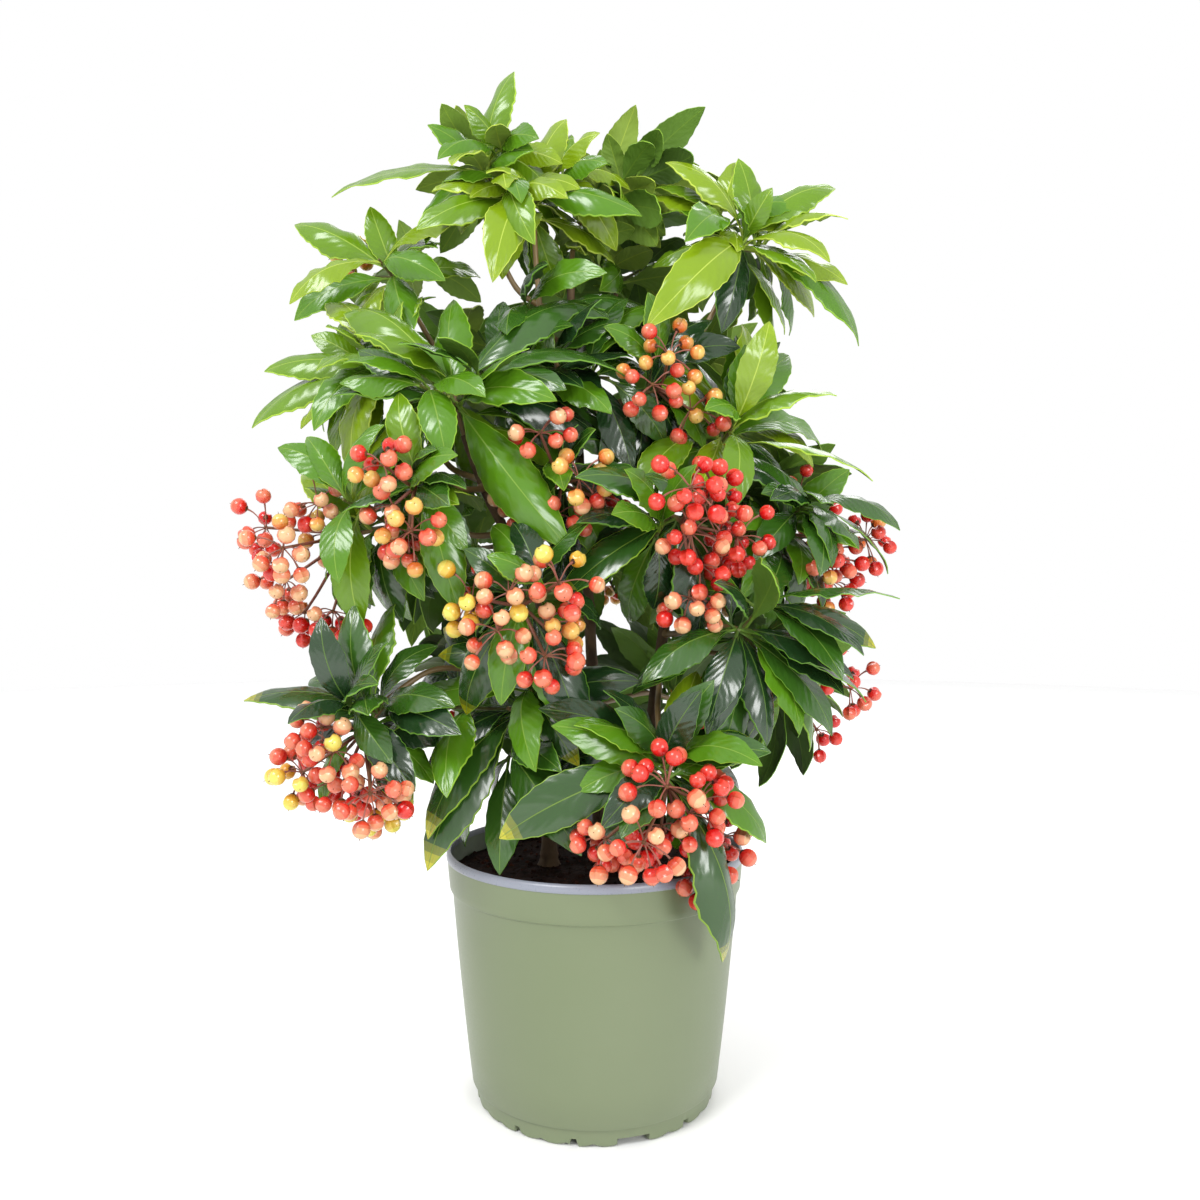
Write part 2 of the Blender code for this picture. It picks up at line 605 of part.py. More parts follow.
class Mass:
    """One shoot as it grows: its bough's line, its twig's line, leaves and berries."""

    def __init__(self, shoot, stems):
        self.shoot = shoot
        self.random = random.Random(shoot.name)
        self.phase = self.random.uniform(0.0, 360.0)
        self.bough = None
        self.side_twigs = []
        self.leaves = []
        self.peduncles = []
        self.fruit = []
        heading = bearing(*shoot.heading)
        stem = stems[shoot.stem]
        if shoot.tip:
            tip = Vector(shoot.tip) * MM
            start, leave = stem.fork(shoot.fork * MM, tip)
            self.bough = [start, *arched_path(start + leave * STRAIGHT, leave,
                                              tip - heading * STRAIGHT, heading,
                                              BOUGH_ARCS), tip]
            start, leave = tip + heading * GAP, heading
        elif shoot.fork:
            place = stem.at(shoot.fork * MM)[0]
            start, leave = stem.fork(shoot.fork * MM, place + heading)
        else:
            leave = (stem.points[-1] - stem.points[-2]).normalized()
            start = stem.points[-1] + leave * GAP
        end = start + (leave + heading).normalized() * shoot.twig * MM
        self.twig = arched_path(start, leave, end, heading, TWIG_ARCS)

    def on_twig(self, share):
        """Return the place and direction of the twig at a share of its length."""
        run = share * (len(self.twig) - 1)
        number = min(int(run), len(self.twig) - 2)
        low, high = self.twig[number], self.twig[number + 1]
        return low.lerp(high, run - number), (high - low).normalized()

    def leaf(self, root, chord, reach, blank):
        """Return a leaf with its tip at a reach from its root.

        Its upper face looks up, away from the middle of the plant and to the front or the back.
        """
        outward = Vector((root.x, root.y, 0.0)).normalized()
        side = -1.0 if root.y < MIDDLE_Y * MM else 1.0
        lean = LEAF_LEAN + HIGH_LEAF_LEAN * max(0.0, (root.z / MM - HIGH_LEAF_Z) / HIGH_LEAF_RISE)
        sky = UP + outward * LEAF_OUTWARD + Vector((0.0, side, 0.0)) * lean
        normal = (sky - chord * sky.dot(chord)).normalized()
        roll = math.radians(self.random.uniform(-LEAF_ROLL, LEAF_ROLL))
        normal.rotate(Matrix.Rotation(roll, 3, chord))
        bend = math.radians(self.random.uniform(*LEAF_BEND))
        return Leaf(root, chord, normal, reach * bend / (2 * math.sin(bend / 2)), bend, blank)

    def add_leaf(self, space, root, chord, reach, lean, blank):
        """Add a leaf, turned or shortened a little where it would touch something."""
        for attempt in range(LEAF_TRIES):
            leaf = self.leaf(root, chord, reach * (1 - LEAF_SHRINK * attempt), blank)
            free = leaf.corners(LEAF_FREE_FROM, LEAF_CLEARANCE * MM)
            if space.clear(free, blank.faces) and space.clear(leaf.corners(), blank.faces,
                                                              self.shoot.name):
                space.add(leaf.corners(LEAF_FREE_FROM), blank.faces, None)
                space.add(leaf.corners(), blank.faces, self.shoot.name)
                self.leaves.append(leaf)
                return
            chord = tilted(chord, self.random.uniform(0, 360), lean)

    def grow_leaf_tips(self, space):
        """Add the leaves that stand out in the photo."""
        count = len(self.shoot.leaf_tips)
        for number, tip in enumerate(self.shoot.leaf_tips):
            root = self.on_twig(between(TIP_LEAF_ZONE, (number + 0.5) / count))[0]
            run = Vector(tip) * MM - root
            self.add_leaf(space, root, run.normalized(), run.length, TIP_LEAF_NUDGE, LEAF)

    def grow_side_twigs(self, space):
        """Branch side twigs off the twig, one for every few leaves, by the golden angle."""
        count = self.shoot.leaves // LEAVES_PER_TWIG
        for number in range(count):
            root, along = self.on_twig(between(SIDE_TWIG_ZONE, (number + 0.5) / count))
            leave = tilted(along, self.phase + (number + 0.5) * GOLDEN_ANGLE, SIDE_TWIG_LEAN)
            length = self.shoot.twig * self.random.uniform(*SIDE_TWIG_REACH) * MM
            twig = Rod(root, root + leave * length, SIDE_TWIG_RADIUS * MM)
            if space.clear(twig.corners(ROD, ROD_FREE_FROM), ROD.faces, self.shoot.name):
                space.add(twig.corners(ROD), ROD.faces, self.shoot.name)
                self.side_twigs.append(twig)

    def grow_leaves(self, space):
        """Deal leaves out to the twigs by the golden angle, the youngest smaller and steeper."""
        twigs = [None, *self.side_twigs]
        for number in range(self.shoot.leaves):
            share = (number + 0.5) / self.shoot.leaves
            twig = twigs[number % len(twigs)]
            if twig:
                along = (twig.end - twig.start).normalized()
                root = twig.start.lerp(twig.end, between(SIDE_LEAF_ZONE, share))
            else:
                root, along = self.on_twig(between(LEAF_ZONE, share))
            turn = self.phase + number * GOLDEN_ANGLE
            chord = tilted(along, turn, between(LEAF_ANGLES, share))
            chord = (chord - UP * LEAF_DROOP).normalized()
            reach = self.shoot.blade * (1 - YOUNG_LEAF_LOSS * share * share)
            reach *= self.random.uniform(*LEAF_REACH)
            self.add_leaf(space, root, chord, reach * MM, LEAF_NUDGE, PLAIN_LEAF)

    def grow_umbels(self, space):
        """End the twig in umbels that fan out, each turned on where its stalk touches something."""
        for number in range(self.shoot.umbels):
            fan = self.shoot.fan * math.sqrt((number + 0.5) / self.shoot.umbels)
            for attempt in range(STALK_TRIES):
                turn = self.phase + number * GOLDEN_ANGLE + attempt * STALK_NUDGE
                if self.add_umbel(space, turn, fan):
                    break

    def add_umbel(self, space, turn, fan):
        """Add a stalk with berries all round its end, and tell whether there was room for it."""
        tip, along = self.on_twig(1.0)
        leave = (tilted(along, turn, fan) - UP * STALK_DROOP).normalized()
        length = self.shoot.stalk * self.random.uniform(*STALK_REACH) * MM
        stalk = Rod(tip - leave * STALK_SUNK * MM, tip + leave * length, PEDUNCLE_RADIUS * MM)
        if not space.clear(stalk.corners(ROD, ROD_FREE_FROM), ROD.faces, self.shoot.name):
            return False
        space.add(stalk.corners(ROD), ROD.faces, self.shoot.name)
        self.peduncles.append(stalk)
        for berry in range(self.shoot.berries):
            self.add_berry(space, stalk.end, leave, berry)
        return True

    def add_berry(self, space, foot, along, number):
        """Add one berry of an umbel, where there is room for it."""
        share = math.sqrt((number + 0.5) / self.shoot.berries)
        for attempt in range(BERRY_TRIES):
            turn = number * GOLDEN_ANGLE + attempt * PEDICEL_NUDGE
            turn += self.random.uniform(-PEDICEL_TURN, PEDICEL_TURN)
            leave = tilted(along, turn, between(PEDICEL_ANGLES, share)) - UP * PEDICEL_DROOP
            length = PEDICEL_LENGTH * self.random.uniform(*PEDICEL_REACH) * MM
            end = foot + leave.normalized() * length
            start = foot - along * PEDICEL_SUNK * MM
            fruit = Fruit(Rod(start, end, PEDICEL_RADIUS * MM), end)
            ball = fruit.corners(BERRY, BERRY_CLEARANCE * MM)
            stalk = fruit.stalk.corners(ROD, ROD_FREE_FROM)
            if (space.clear(ball, BERRY.faces, NOBODY)
                    and space.clear(stalk, ROD.faces, NOBODY)):
                space.add(fruit.corners(BERRY), BERRY.faces, None)
                space.add(fruit.stalk.corners(ROD), ROD.faces, self.shoot.name)
                self.fruit.append(fruit)
                return


def add_solid(name, corners, faces, collection):
    """Put a solid with the given corners in a collection."""
    mesh = bpy.data.meshes.new(name)
    mesh.from_pydata(corners, [], faces)
    return new_object(name, mesh, collection)


def fuse(name, base, pieces):
    """Join a twig with all the objects of a collection, and tell whether that gave a sound solid."""
    union = base.modifiers.new("Join", "BOOLEAN")
    union.operation = "UNION"
    union.operand_type = "COLLECTION"
    union.collection = pieces
    for solver in SOLVERS:
        union.solver = solver
        joined = mesh_of(base)
        keep_largest(joined)
        joined.calc_loop_triangles()
        corners = [vert.co.copy() for vert in joined.vertices]
        triangles = [tuple(triangle.vertices) for triangle in joined.loop_triangles]
        for distance in MERGE_DISTANCES:
            spots, faces = lean_triangles(corners, triangles, distance * MM)
            if sound(faces) and sound(touching(spots, faces)):
                print(f"{name}: {len(faces)} triangles, {solver}, merged at {distance} mm")
                base.modifiers.clear()
                base.data.clear_geometry()
                base.data.from_pydata(spots, [], faces)
                return True
    return False


def lean_triangles(corners, triangles, distance):
    """Draw edges shorter than a distance together and drop the faces that this flattens."""
    group = list(range(len(corners)))

    def head(index):
        while group[index] != index:
            index = group[index]
        return index

    for triangle in triangles:
        for start, end in zip(triangle, triangle[1:] + triangle[:1]):
            first, second = head(start), head(end)
            if first != second and (corners[first] - corners[second]).length < distance:
                group[second] = first
    faces = {}
    for triangle in triangles:
        face = tuple(head(index) for index in triangle)
        if len(set(face)) < 3:
            continue
        lowest = face.index(min(face))
        face = face[lowest:] + face[:lowest]
        opposite = (face[0], face[2], face[1])
        if opposite in faces:
            del faces[opposite]
        else:
            faces[face] = None
    used = sorted({index for face in faces for index in face})
    place = {index: number for number, index in enumerate(used)}
    return [corners[index] for index in used], [tuple(place[i] for i in face) for face in faces]


def touching(spots, faces):
    """Return the triangles with all corners that stand in one place taken as one."""
    first = {}
    places = [first.setdefault(tuple(round(value / (TOUCH_DISTANCE * MM)) for value in spot), number)
              for number, spot in enumerate(spots)]
    return [tuple(places[index] for index in face) for face in faces]


def sound(faces):
    """Tell whether triangles make one closed body, with each edge used just once each way."""
    owner = {}
    for number, (a, b, c) in enumerate(faces):
        for run in ((a, b), (b, c), (c, a)):
            if run in owner:
                return False
            owner[run] = number
    if not all((end, start) in owner for start, end in owner):
        return False
    seen = {0}
    front = [0]
    while front:
        a, b, c = faces[front.pop()]
        for run in ((b, a), (c, b), (a, c)):
            if owner[run] not in seen:
                seen.add(owner[run])
                front.append(owner[run])
    return len(seen) == len(faces)


def keep_largest(mesh):
    """Drop the loose scrap and the sealed hollows of a mesh, all but its largest body."""
    solid = bmesh.new()
    solid.from_mesh(mesh)
    unseen = set(solid.verts)
    bodies = []
    while unseen:
        body = set()
        front = [unseen.pop()]
        while front:
            vert = front.pop()
            body.add(vert)
            for edge in vert.link_edges:
                other = edge.other_vert(vert)
                if other in unseen:
                    unseen.discard(other)
                    front.append(other)
        bodies.append(body)
    bodies.sort(key=len)
    for body in bodies[:-1]:
        bmesh.ops.delete(solid, geom=list(body), context="VERTS")
    solid.to_mesh(mesh)
    solid.free()


def make_mass(mass, collection, pieces, finish):
    """Fuse the twig, leaves, stalks and berries of a mass."""
    name = mass.shoot.name
    radii = [between((TWIG_RADIUS, TWIG_TIP_RADIUS), step / TWIG_ARCS) * MM
             for step in range(TWIG_ARCS + 1)]
    base = tube(name, mass.twig, radii, 0, collection, finish)
    for twig in mass.side_twigs:
        add_solid("side_twig", twig.corners(ROD), ROD.faces, pieces)
    blades = [add_solid("leaf", leaf.corners(), leaf.blank.faces, pieces) for leaf in mass.leaves]
    for stalk in mass.peduncles:
        add_solid("peduncle", stalk.corners(ROD), ROD.faces, pieces)
    for fruit in mass.fruit[::BERRY_STEP]:
        add_solid("pedicel", fruit.stalk.corners(ROD), ROD.faces, pieces)
        add_solid("berry", fruit.corners(BERRY), BERRY.faces, pieces)
    while not fuse(name, base, pieces):
        print(f"{name}: a leaf less, for the union isn't closed")
        bpy.data.objects.remove(blades.pop())
    clear_out(pieces)


def new_collection(name):
    """Return a new collection in the scene."""
    collection = bpy.data.collections.new(name)
    bpy.context.scene.collection.children.link(collection)
    return collection


LEAF = leaf_blank(LEAF_RINGS)
PLAIN_LEAF = leaf_blank(PLAIN_LEAF_RINGS)
ROD = rod_blank()
BERRY = berry_blank()


def main():
    """Build the plant and its pot."""
    for thing in list(bpy.data.objects):
        bpy.data.objects.remove(thing)
    parts = new_collection("coral_ardisia")
    pieces = new_collection("cutters")
    green_plastic = material("green_plastic", (0.30, 0.37, 0.21), 0.42)
    dark_soil = material("dark_soil", (0.022, 0.010, 0.007), 0.95)
    bark = material("bark", (0.17, 0.10, 0.05), 0.75)
    foliage = material("foliage", (0.06, 0.16, 0.03), 0.35)

    space = Space()
    for solid in (make_pot(parts, pieces, green_plastic), make_soil(parts, dark_soil)):
        corners = [vert.co.copy() for vert in solid.data.vertices]
        space.add(corners, [tuple(face.vertices) for face in solid.data.polygons], "pot")

    stems = {stem.name: StemPath(stem) for stem in STEMS}
    limbs = [("stem_" + name, stem.points, stem.radii, STEM_SIDES) for name, stem in stems.items()]
    masses = [Mass(shoot, stems) for shoot in SHOOTS]
    for mass in masses:
        if mass.bough:
            steps = len(mass.bough) - 1
            radii = [between((BOUGH_RADIUS, BOUGH_TIP_RADIUS), step / steps) * MM
                     for step in range(steps + 1)]
            limbs.append(("bough_" + mass.shoot.name, mass.bough, radii, 0))
    for name, points, radii, resolution in limbs:
        limb = tube(name, points, radii, resolution, parts, bark)
        corners = [vert.co.copy() for vert in limb.data.vertices]
        space.add(corners, [tuple(face.vertices) for face in limb.data.polygons], name)
    for mass in masses:
        for start, end in zip(mass.twig, mass.twig[1:]):
            rod = Rod(start, end, TWIG_RADIUS * MM)
            space.add(rod.corners(ROD), ROD.faces, mass.shoot.name)
    for mass in masses:
        mass.grow_side_twigs(space)
    for mass in masses:
        mass.grow_leaf_tips(space)
    for mass in masses:
        mass.grow_umbels(space)
    for mass in masses:
        mass.grow_leaves(space)
    for mass in masses:
        wanted = mass.shoot.leaves + len(mass.shoot.leaf_tips)
        print(f"{mass.shoot.name}: {len(mass.leaves)} of {wanted} leaves, {len(mass.fruit)} berries")
        make_mass(mass, parts, pieces, foliage)
    bpy.data.collections.remove(pieces)


if __name__ == "__main__":
    main()
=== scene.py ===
"""Coral ardisia in its green nursery pot: the looks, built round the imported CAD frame.

Metres and +Z up. The pot stands on the floor at z = 0 with its axis on the Z axis, and -Y faces
the viewer. The growth tables are in millimetres and degrees, as in the part's source, whose rule
of growth is written again here: boughs leave the stems, each bough or stem tip carries a mass of
leaves and umbels, and here every mass also gets the finer leaves, curved stalks and all the
berries that the solids leave out. An azimuth of 0 points right (+X) and 270 to the viewer.
"""

import logging
import math
import random
from dataclasses import dataclass, replace
from enum import Enum
from typing import Iterable, Sequence

import bmesh
import bpy
import numpy as np
from bmesh.types import BMesh, BMVert
from bpy.types import Material, Mesh, Node, NodeSocket, NodeTree, Object
from mathutils import Matrix, Vector, noise
from mathutils.bvhtree import BVHTree


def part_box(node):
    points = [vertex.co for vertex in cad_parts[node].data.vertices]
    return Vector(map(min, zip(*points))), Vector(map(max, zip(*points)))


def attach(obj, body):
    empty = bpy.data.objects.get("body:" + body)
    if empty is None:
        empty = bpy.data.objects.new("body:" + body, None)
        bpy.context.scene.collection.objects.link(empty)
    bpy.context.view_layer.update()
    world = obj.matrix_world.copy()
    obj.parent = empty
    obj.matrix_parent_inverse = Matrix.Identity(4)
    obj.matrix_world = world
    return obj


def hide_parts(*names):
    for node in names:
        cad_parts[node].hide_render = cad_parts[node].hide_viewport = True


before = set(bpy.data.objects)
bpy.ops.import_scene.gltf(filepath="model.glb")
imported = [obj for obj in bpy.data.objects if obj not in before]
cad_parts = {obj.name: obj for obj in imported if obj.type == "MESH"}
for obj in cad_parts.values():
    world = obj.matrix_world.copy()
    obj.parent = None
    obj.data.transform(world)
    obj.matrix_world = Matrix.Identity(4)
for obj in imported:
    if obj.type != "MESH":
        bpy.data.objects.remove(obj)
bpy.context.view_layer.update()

LOG = logging.getLogger("coral_ardisia")

MM = 0.001
# Points this close are one: in a shape of unit size, and in a turned one in metres.
UNIT_WELD = 1e-4
TURNED_WELD = 0.01 * MM
GAP = 0.3 * MM
STRAIGHT = 1.0 * MM
UP = Vector((0.0, 0.0, 1.0))
GOLDEN_ANGLE = 137.5
MIDDLE_Y = 14.0

# Limbs.
FOOT_HEIGHT = 3.0
FLARE_HEIGHT = 9.0
FLARE_RADIUS = 5.2
STEM_RADIUS = 3.1
STEM_TIP_RADIUS = 1.7
BOUGH_RADIUS = 1.5
BOUGH_TIP_RADIUS = 1.0
TWIG_RADIUS = 1.2
TWIG_TIP_RADIUS = 0.9
SIDE_TWIG_RADIUS = 0.8
SIDE_TWIG_LEAN = 58.0
LEAVES_PER_TWIG = 4
PEDUNCLE_RADIUS = 0.7
PEDICEL_RADIUS = 0.55

# Leaves and berries, as the solids have them.
LEAF_STALK = 0.12
LEAF_WIDTH = 0.42
LEAF_STALK_WIDTH = 1.4
LEAF_SKEW = 0.9
LEAF_FULLNESS = 0.75
LEAF_THICKNESS = 1.1
LEAF_STALK_THICKNESS = 1.2
LEAF_RINGS = (0.34, 0.70)
PLAIN_LEAF_RINGS = (0.48,)
LEAF_CLEARANCE = 0.35
LEAF_TRIES = 26
LEAF_SHRINK = 0.014
BERRY_RADIUS = 3.9
BERRY_CLEARANCE = 0.3
BERRY_TRIES = 16
PEDICEL_LENGTH = 12.5

# Growth. A zone is the shares of a twig's length between which things stand on it.
LIMB_PULL = 0.4
BOUGH_ARCS = 3
TWIG_ARCS = 4
SIDE_TWIG_ZONE = (0.30, 0.75)
SIDE_TWIG_REACH = (0.9, 1.4)
TIP_LEAF_ZONE = (0.35, 0.95)
LEAF_ZONE = (0.25, 0.97)
SIDE_LEAF_ZONE = (0.55, 0.95)
LEAF_ANGLES = (104.0, 60.0)
LEAF_DROOP = 0.2
LEAF_REACH = (0.86, 1.0)
YOUNG_LEAF_LOSS = 0.3
LEAF_ROLL = 16.0
LEAF_BEND = (22.0, 62.0)
LEAF_FREE_FROM = 0.2
LEAF_OUTWARD = 0.5
LEAF_LEAN = 0.6
HIGH_LEAF_LEAN = 0.9
HIGH_LEAF_Z = 250.0
HIGH_LEAF_RISE = 150.0
TIP_LEAF_NUDGE = 5.0
LEAF_NUDGE = 9.0
STALK_REACH = (0.6, 1.5)
STALK_TRIES = 5
STALK_NUDGE = 33.0
STALK_DROOP = 0.2
STALK_SUNK = 0.4
PEDICEL_REACH = (0.8, 1.2)
PEDICEL_ANGLES = (12.0, 104.0)
PEDICEL_DROOP = 0.3
PEDICEL_SUNK = 0.3
PEDICEL_TURN = 12.0
PEDICEL_NUDGE = 40.0
ROD_FREE_FROM = 0.3

# An owner that nothing has, so that a test leaves nothing out.
NOBODY = ""

# The finer leaves that the solids leave out.
FINE_LEAVES = 56
FINE_SHIFT = 0.4
FINE_REACH = (0.68, 1.05)
FINE_ANGLES = (114.0, 52.0)
FINE_ZONE = (0.12, 1.0)
TOP_FROM = 372.0
TOP_FINE = 0.76
FINE_TRIES = 16
FINE_NUDGE = 14.0
REACH_MARGIN = 4.0 * MM

# How much brighter than its base colour a matt surface shows in the studio's light.
LIGHT_FACTOR = 1.55
# The angle in degrees past which an edge of most pieces stays sharp.
CREASE = 50.0

Pair = tuple[float, float]
Point = tuple[float, float, float]
Colour = tuple[float, float, float]
Box = tuple[Vector, Vector]
Solid = tuple[list[Vector], list[tuple[int, ...]]]


def srgb(red: int, green: int, blue: int) -> Colour:
    """Return a linear colour.

    Args:
        red: its red as a display value from 0 to 255.
        green: its green.
        blue: its blue.

    Returns:
        The colour.
    """
    def linear(value: int) -> float:
        """Return one channel as a linear value."""
        share = value / 255
        return share / 12.92 if share <= 0.04045 else ((share + 0.055) / 1.055) ** 2.4
    return (linear(red), linear(green), linear(blue))


def shown(red: int, green: int, blue: int) -> Colour:
    """Return the base colour that shows as these display values in the studio's light."""
    return tuple(value / LIGHT_FACTOR for value in srgb(red, green, blue))


def blended(first: Colour, second: Colour, share: float) -> Colour:
    """Return the colour at a share of the way from the first to the second."""
    return tuple(between(pair, share) for pair in zip(first, second))


def between(zone: Pair, share: float) -> float:
    """Return the value at a share of the way through a zone."""
    low, high = zone
    return low + (high - low) * share


def tapered(ends: Pair, count: int) -> list[float]:
    """Return a number of radii in metres that go from one end's millimetres to the other's."""
    return [between(ends, step / (count - 1)) * MM for step in range(count)]


def bearing(azimuth: float, elevation: float) -> Vector:
    """Return a direction.

    Args:
        azimuth: its angle in degrees round from +X, towards +Y.
        elevation: its angle in degrees above the level.

    Returns:
        The unit vector.
    """
    level = math.cos(math.radians(elevation))
    return Vector((level * math.cos(math.radians(azimuth)),
                   level * math.sin(math.radians(azimuth)),
                   math.sin(math.radians(elevation))))


def tilted(axis: Vector, turn: float, tilt: float) -> Vector:
    """Lean a direction over.

    Args:
        axis: the direction.
        turn: the angle in degrees of the side to which it leans.
        tilt: by how many degrees it leans.

    Returns:
        The new direction.
    """
    side = axis.orthogonal().normalized()
    side.rotate(Matrix.Rotation(math.radians(turn), 3, axis))
    return (axis * math.cos(math.radians(tilt)) + side * math.sin(math.radians(tilt))).normalized()


def smooth_path(places: Sequence[Vector], samples: int) -> list[Vector]:
    """Return points on a smooth curve through the given places.

    Args:
        places: the places that the curve passes.
        samples: how many points each stretch between two places gets.

    Returns:
        The points, with the last place as the last point.
    """
    ends = [2 * places[0] - places[1], *places, 2 * places[-1] - places[-2]]
    points = []
    for before, start, end, after in zip(ends, ends[1:], ends[2:], ends[3:]):
        for step in range(samples):
            t = step / samples
            points.append(0.5 * (2 * start + (end - before) * t
                                 + (2 * before - 5 * start + 4 * end - after) * t * t
                                 + (3 * start - before - 3 * end + after) * t ** 3))
    return [*points, places[-1].copy()]


def arched_path(start: Vector, leave: Vector, end: Vector, arrive: Vector, count: int) -> list[Vector]:
    """Return points of a curve with given ends and directions.

    Args:
        start: its first point.
        leave: the direction in which it leaves the first point.
        end: its last point.
        arrive: the direction in which it arrives there.
        count: how many stretches it has.

    Returns:
        The points, one more than the stretches.
    """
    pull = (end - start).length * LIMB_PULL
    handles = (start, start + leave * pull, end - arrive * pull, end)
    points = []
    for step in range(count + 1):
        t = step / count
        weights = ((1 - t) ** 3, 3 * t * (1 - t) ** 2, 3 * t * t * (1 - t), t ** 3)
        points.append(sum((w * h for w, h in zip(weights, handles)), Vector()))
    return points


class Tone(Enum):
    """How old a leaf is and how much painted shade darkens it, which together set its colours."""

    FRESH = 0
    SPRING = 1
    MIDDLE = 2
    DEEP = 3
    DARK = 4
    TIPPED = 5


class LeafSide(Enum):
    """The parts of a leaf that differ in colour."""

    UPPER = 0
    SHOULDER = 1
    NEAR_TIP = 2
    TIP = 3
    UNDER = 4
    MARGIN = 5
    RIB = 6


class Ripeness(Enum):
    """The colours of the berries, ripe to unripe."""

    RED = 0
    CORAL = 1
    SALMON = 2
    ORANGE = 3
    YELLOW = 4
    LIME = 5


@dataclass(frozen=True)
class Stem:
    """One woody stem: the places that it passes, from its foot on the soil to its tip."""

    name: str
    places: tuple[Point, ...]


@dataclass(frozen=True)
class Shoot:
    """One mass of foliage and the bough that carries it.

    Attributes:
        stem: the stem that it grows from.
        fork: height at which its bough leaves the stem, or None where it carries on the tip.
        tip: end of its bough, or None where its twig leaves the stem itself.
        heading: azimuth and elevation of the twig.
        twig: length of the twig.
        leaves: how many leaves stand on it by the golden angle.
        blade: length of its largest leaf.
        leaf_tips: where the leaves that stand out in the photo end.
        umbels: how many umbels end the twig.
        berries: how many berries an umbel has.
        fan: angle by which the umbels spread.
        stalk: length of an umbel's stalk.
    """

    name: str
    stem: str
    fork: float | None
    tip: Point | None
    heading: Pair
    twig: float
    leaves: int
    blade: float
    leaf_tips: tuple[Point, ...] = ()
    umbels: int = 0
    berries: int = 0
    fan: float = 55.0
    stalk: float = 17.0


@dataclass(frozen=True)
class Dress:
    """The colours of one mass and its finer leaves.

    Attributes:
        tips: tones of the leaves that stand out in the photo, in turn.
        leaves: tones of its other leaves, in turn.
        berries: how ripe its umbels are, in turn.
        fine: how many finer leaves it may have.
    """

    tips: tuple[Tone, ...]
    leaves: tuple[Tone, ...]
    berries: tuple[Ripeness, ...]
    fine: int


STEMS: tuple[Stem, ...] = (
    Stem("left", ((-20, -4, 98.8), (-20, -4, 128), (-19, -4, 156), (-21, -6, 186), (-24, -8, 214),
                  (-36, -15, 240), (-46, -22, 260), (-54, -28, 283))),
    Stem("right", ((22, -2, 98.8), (23, -2, 130), (25, -2, 160), (28, -2, 186), (32, -2, 210),
                   (38, -2, 234), (44, -2, 254), (51, -2, 272))),
    Stem("centre", ((2, 22, 98.8), (1, 22, 132), (-1, 21, 172), (-3, 20, 214), (-6, 19, 260),
                    (-9, 18, 306), (-11, 16, 340), (-11, 16, 368))),
)

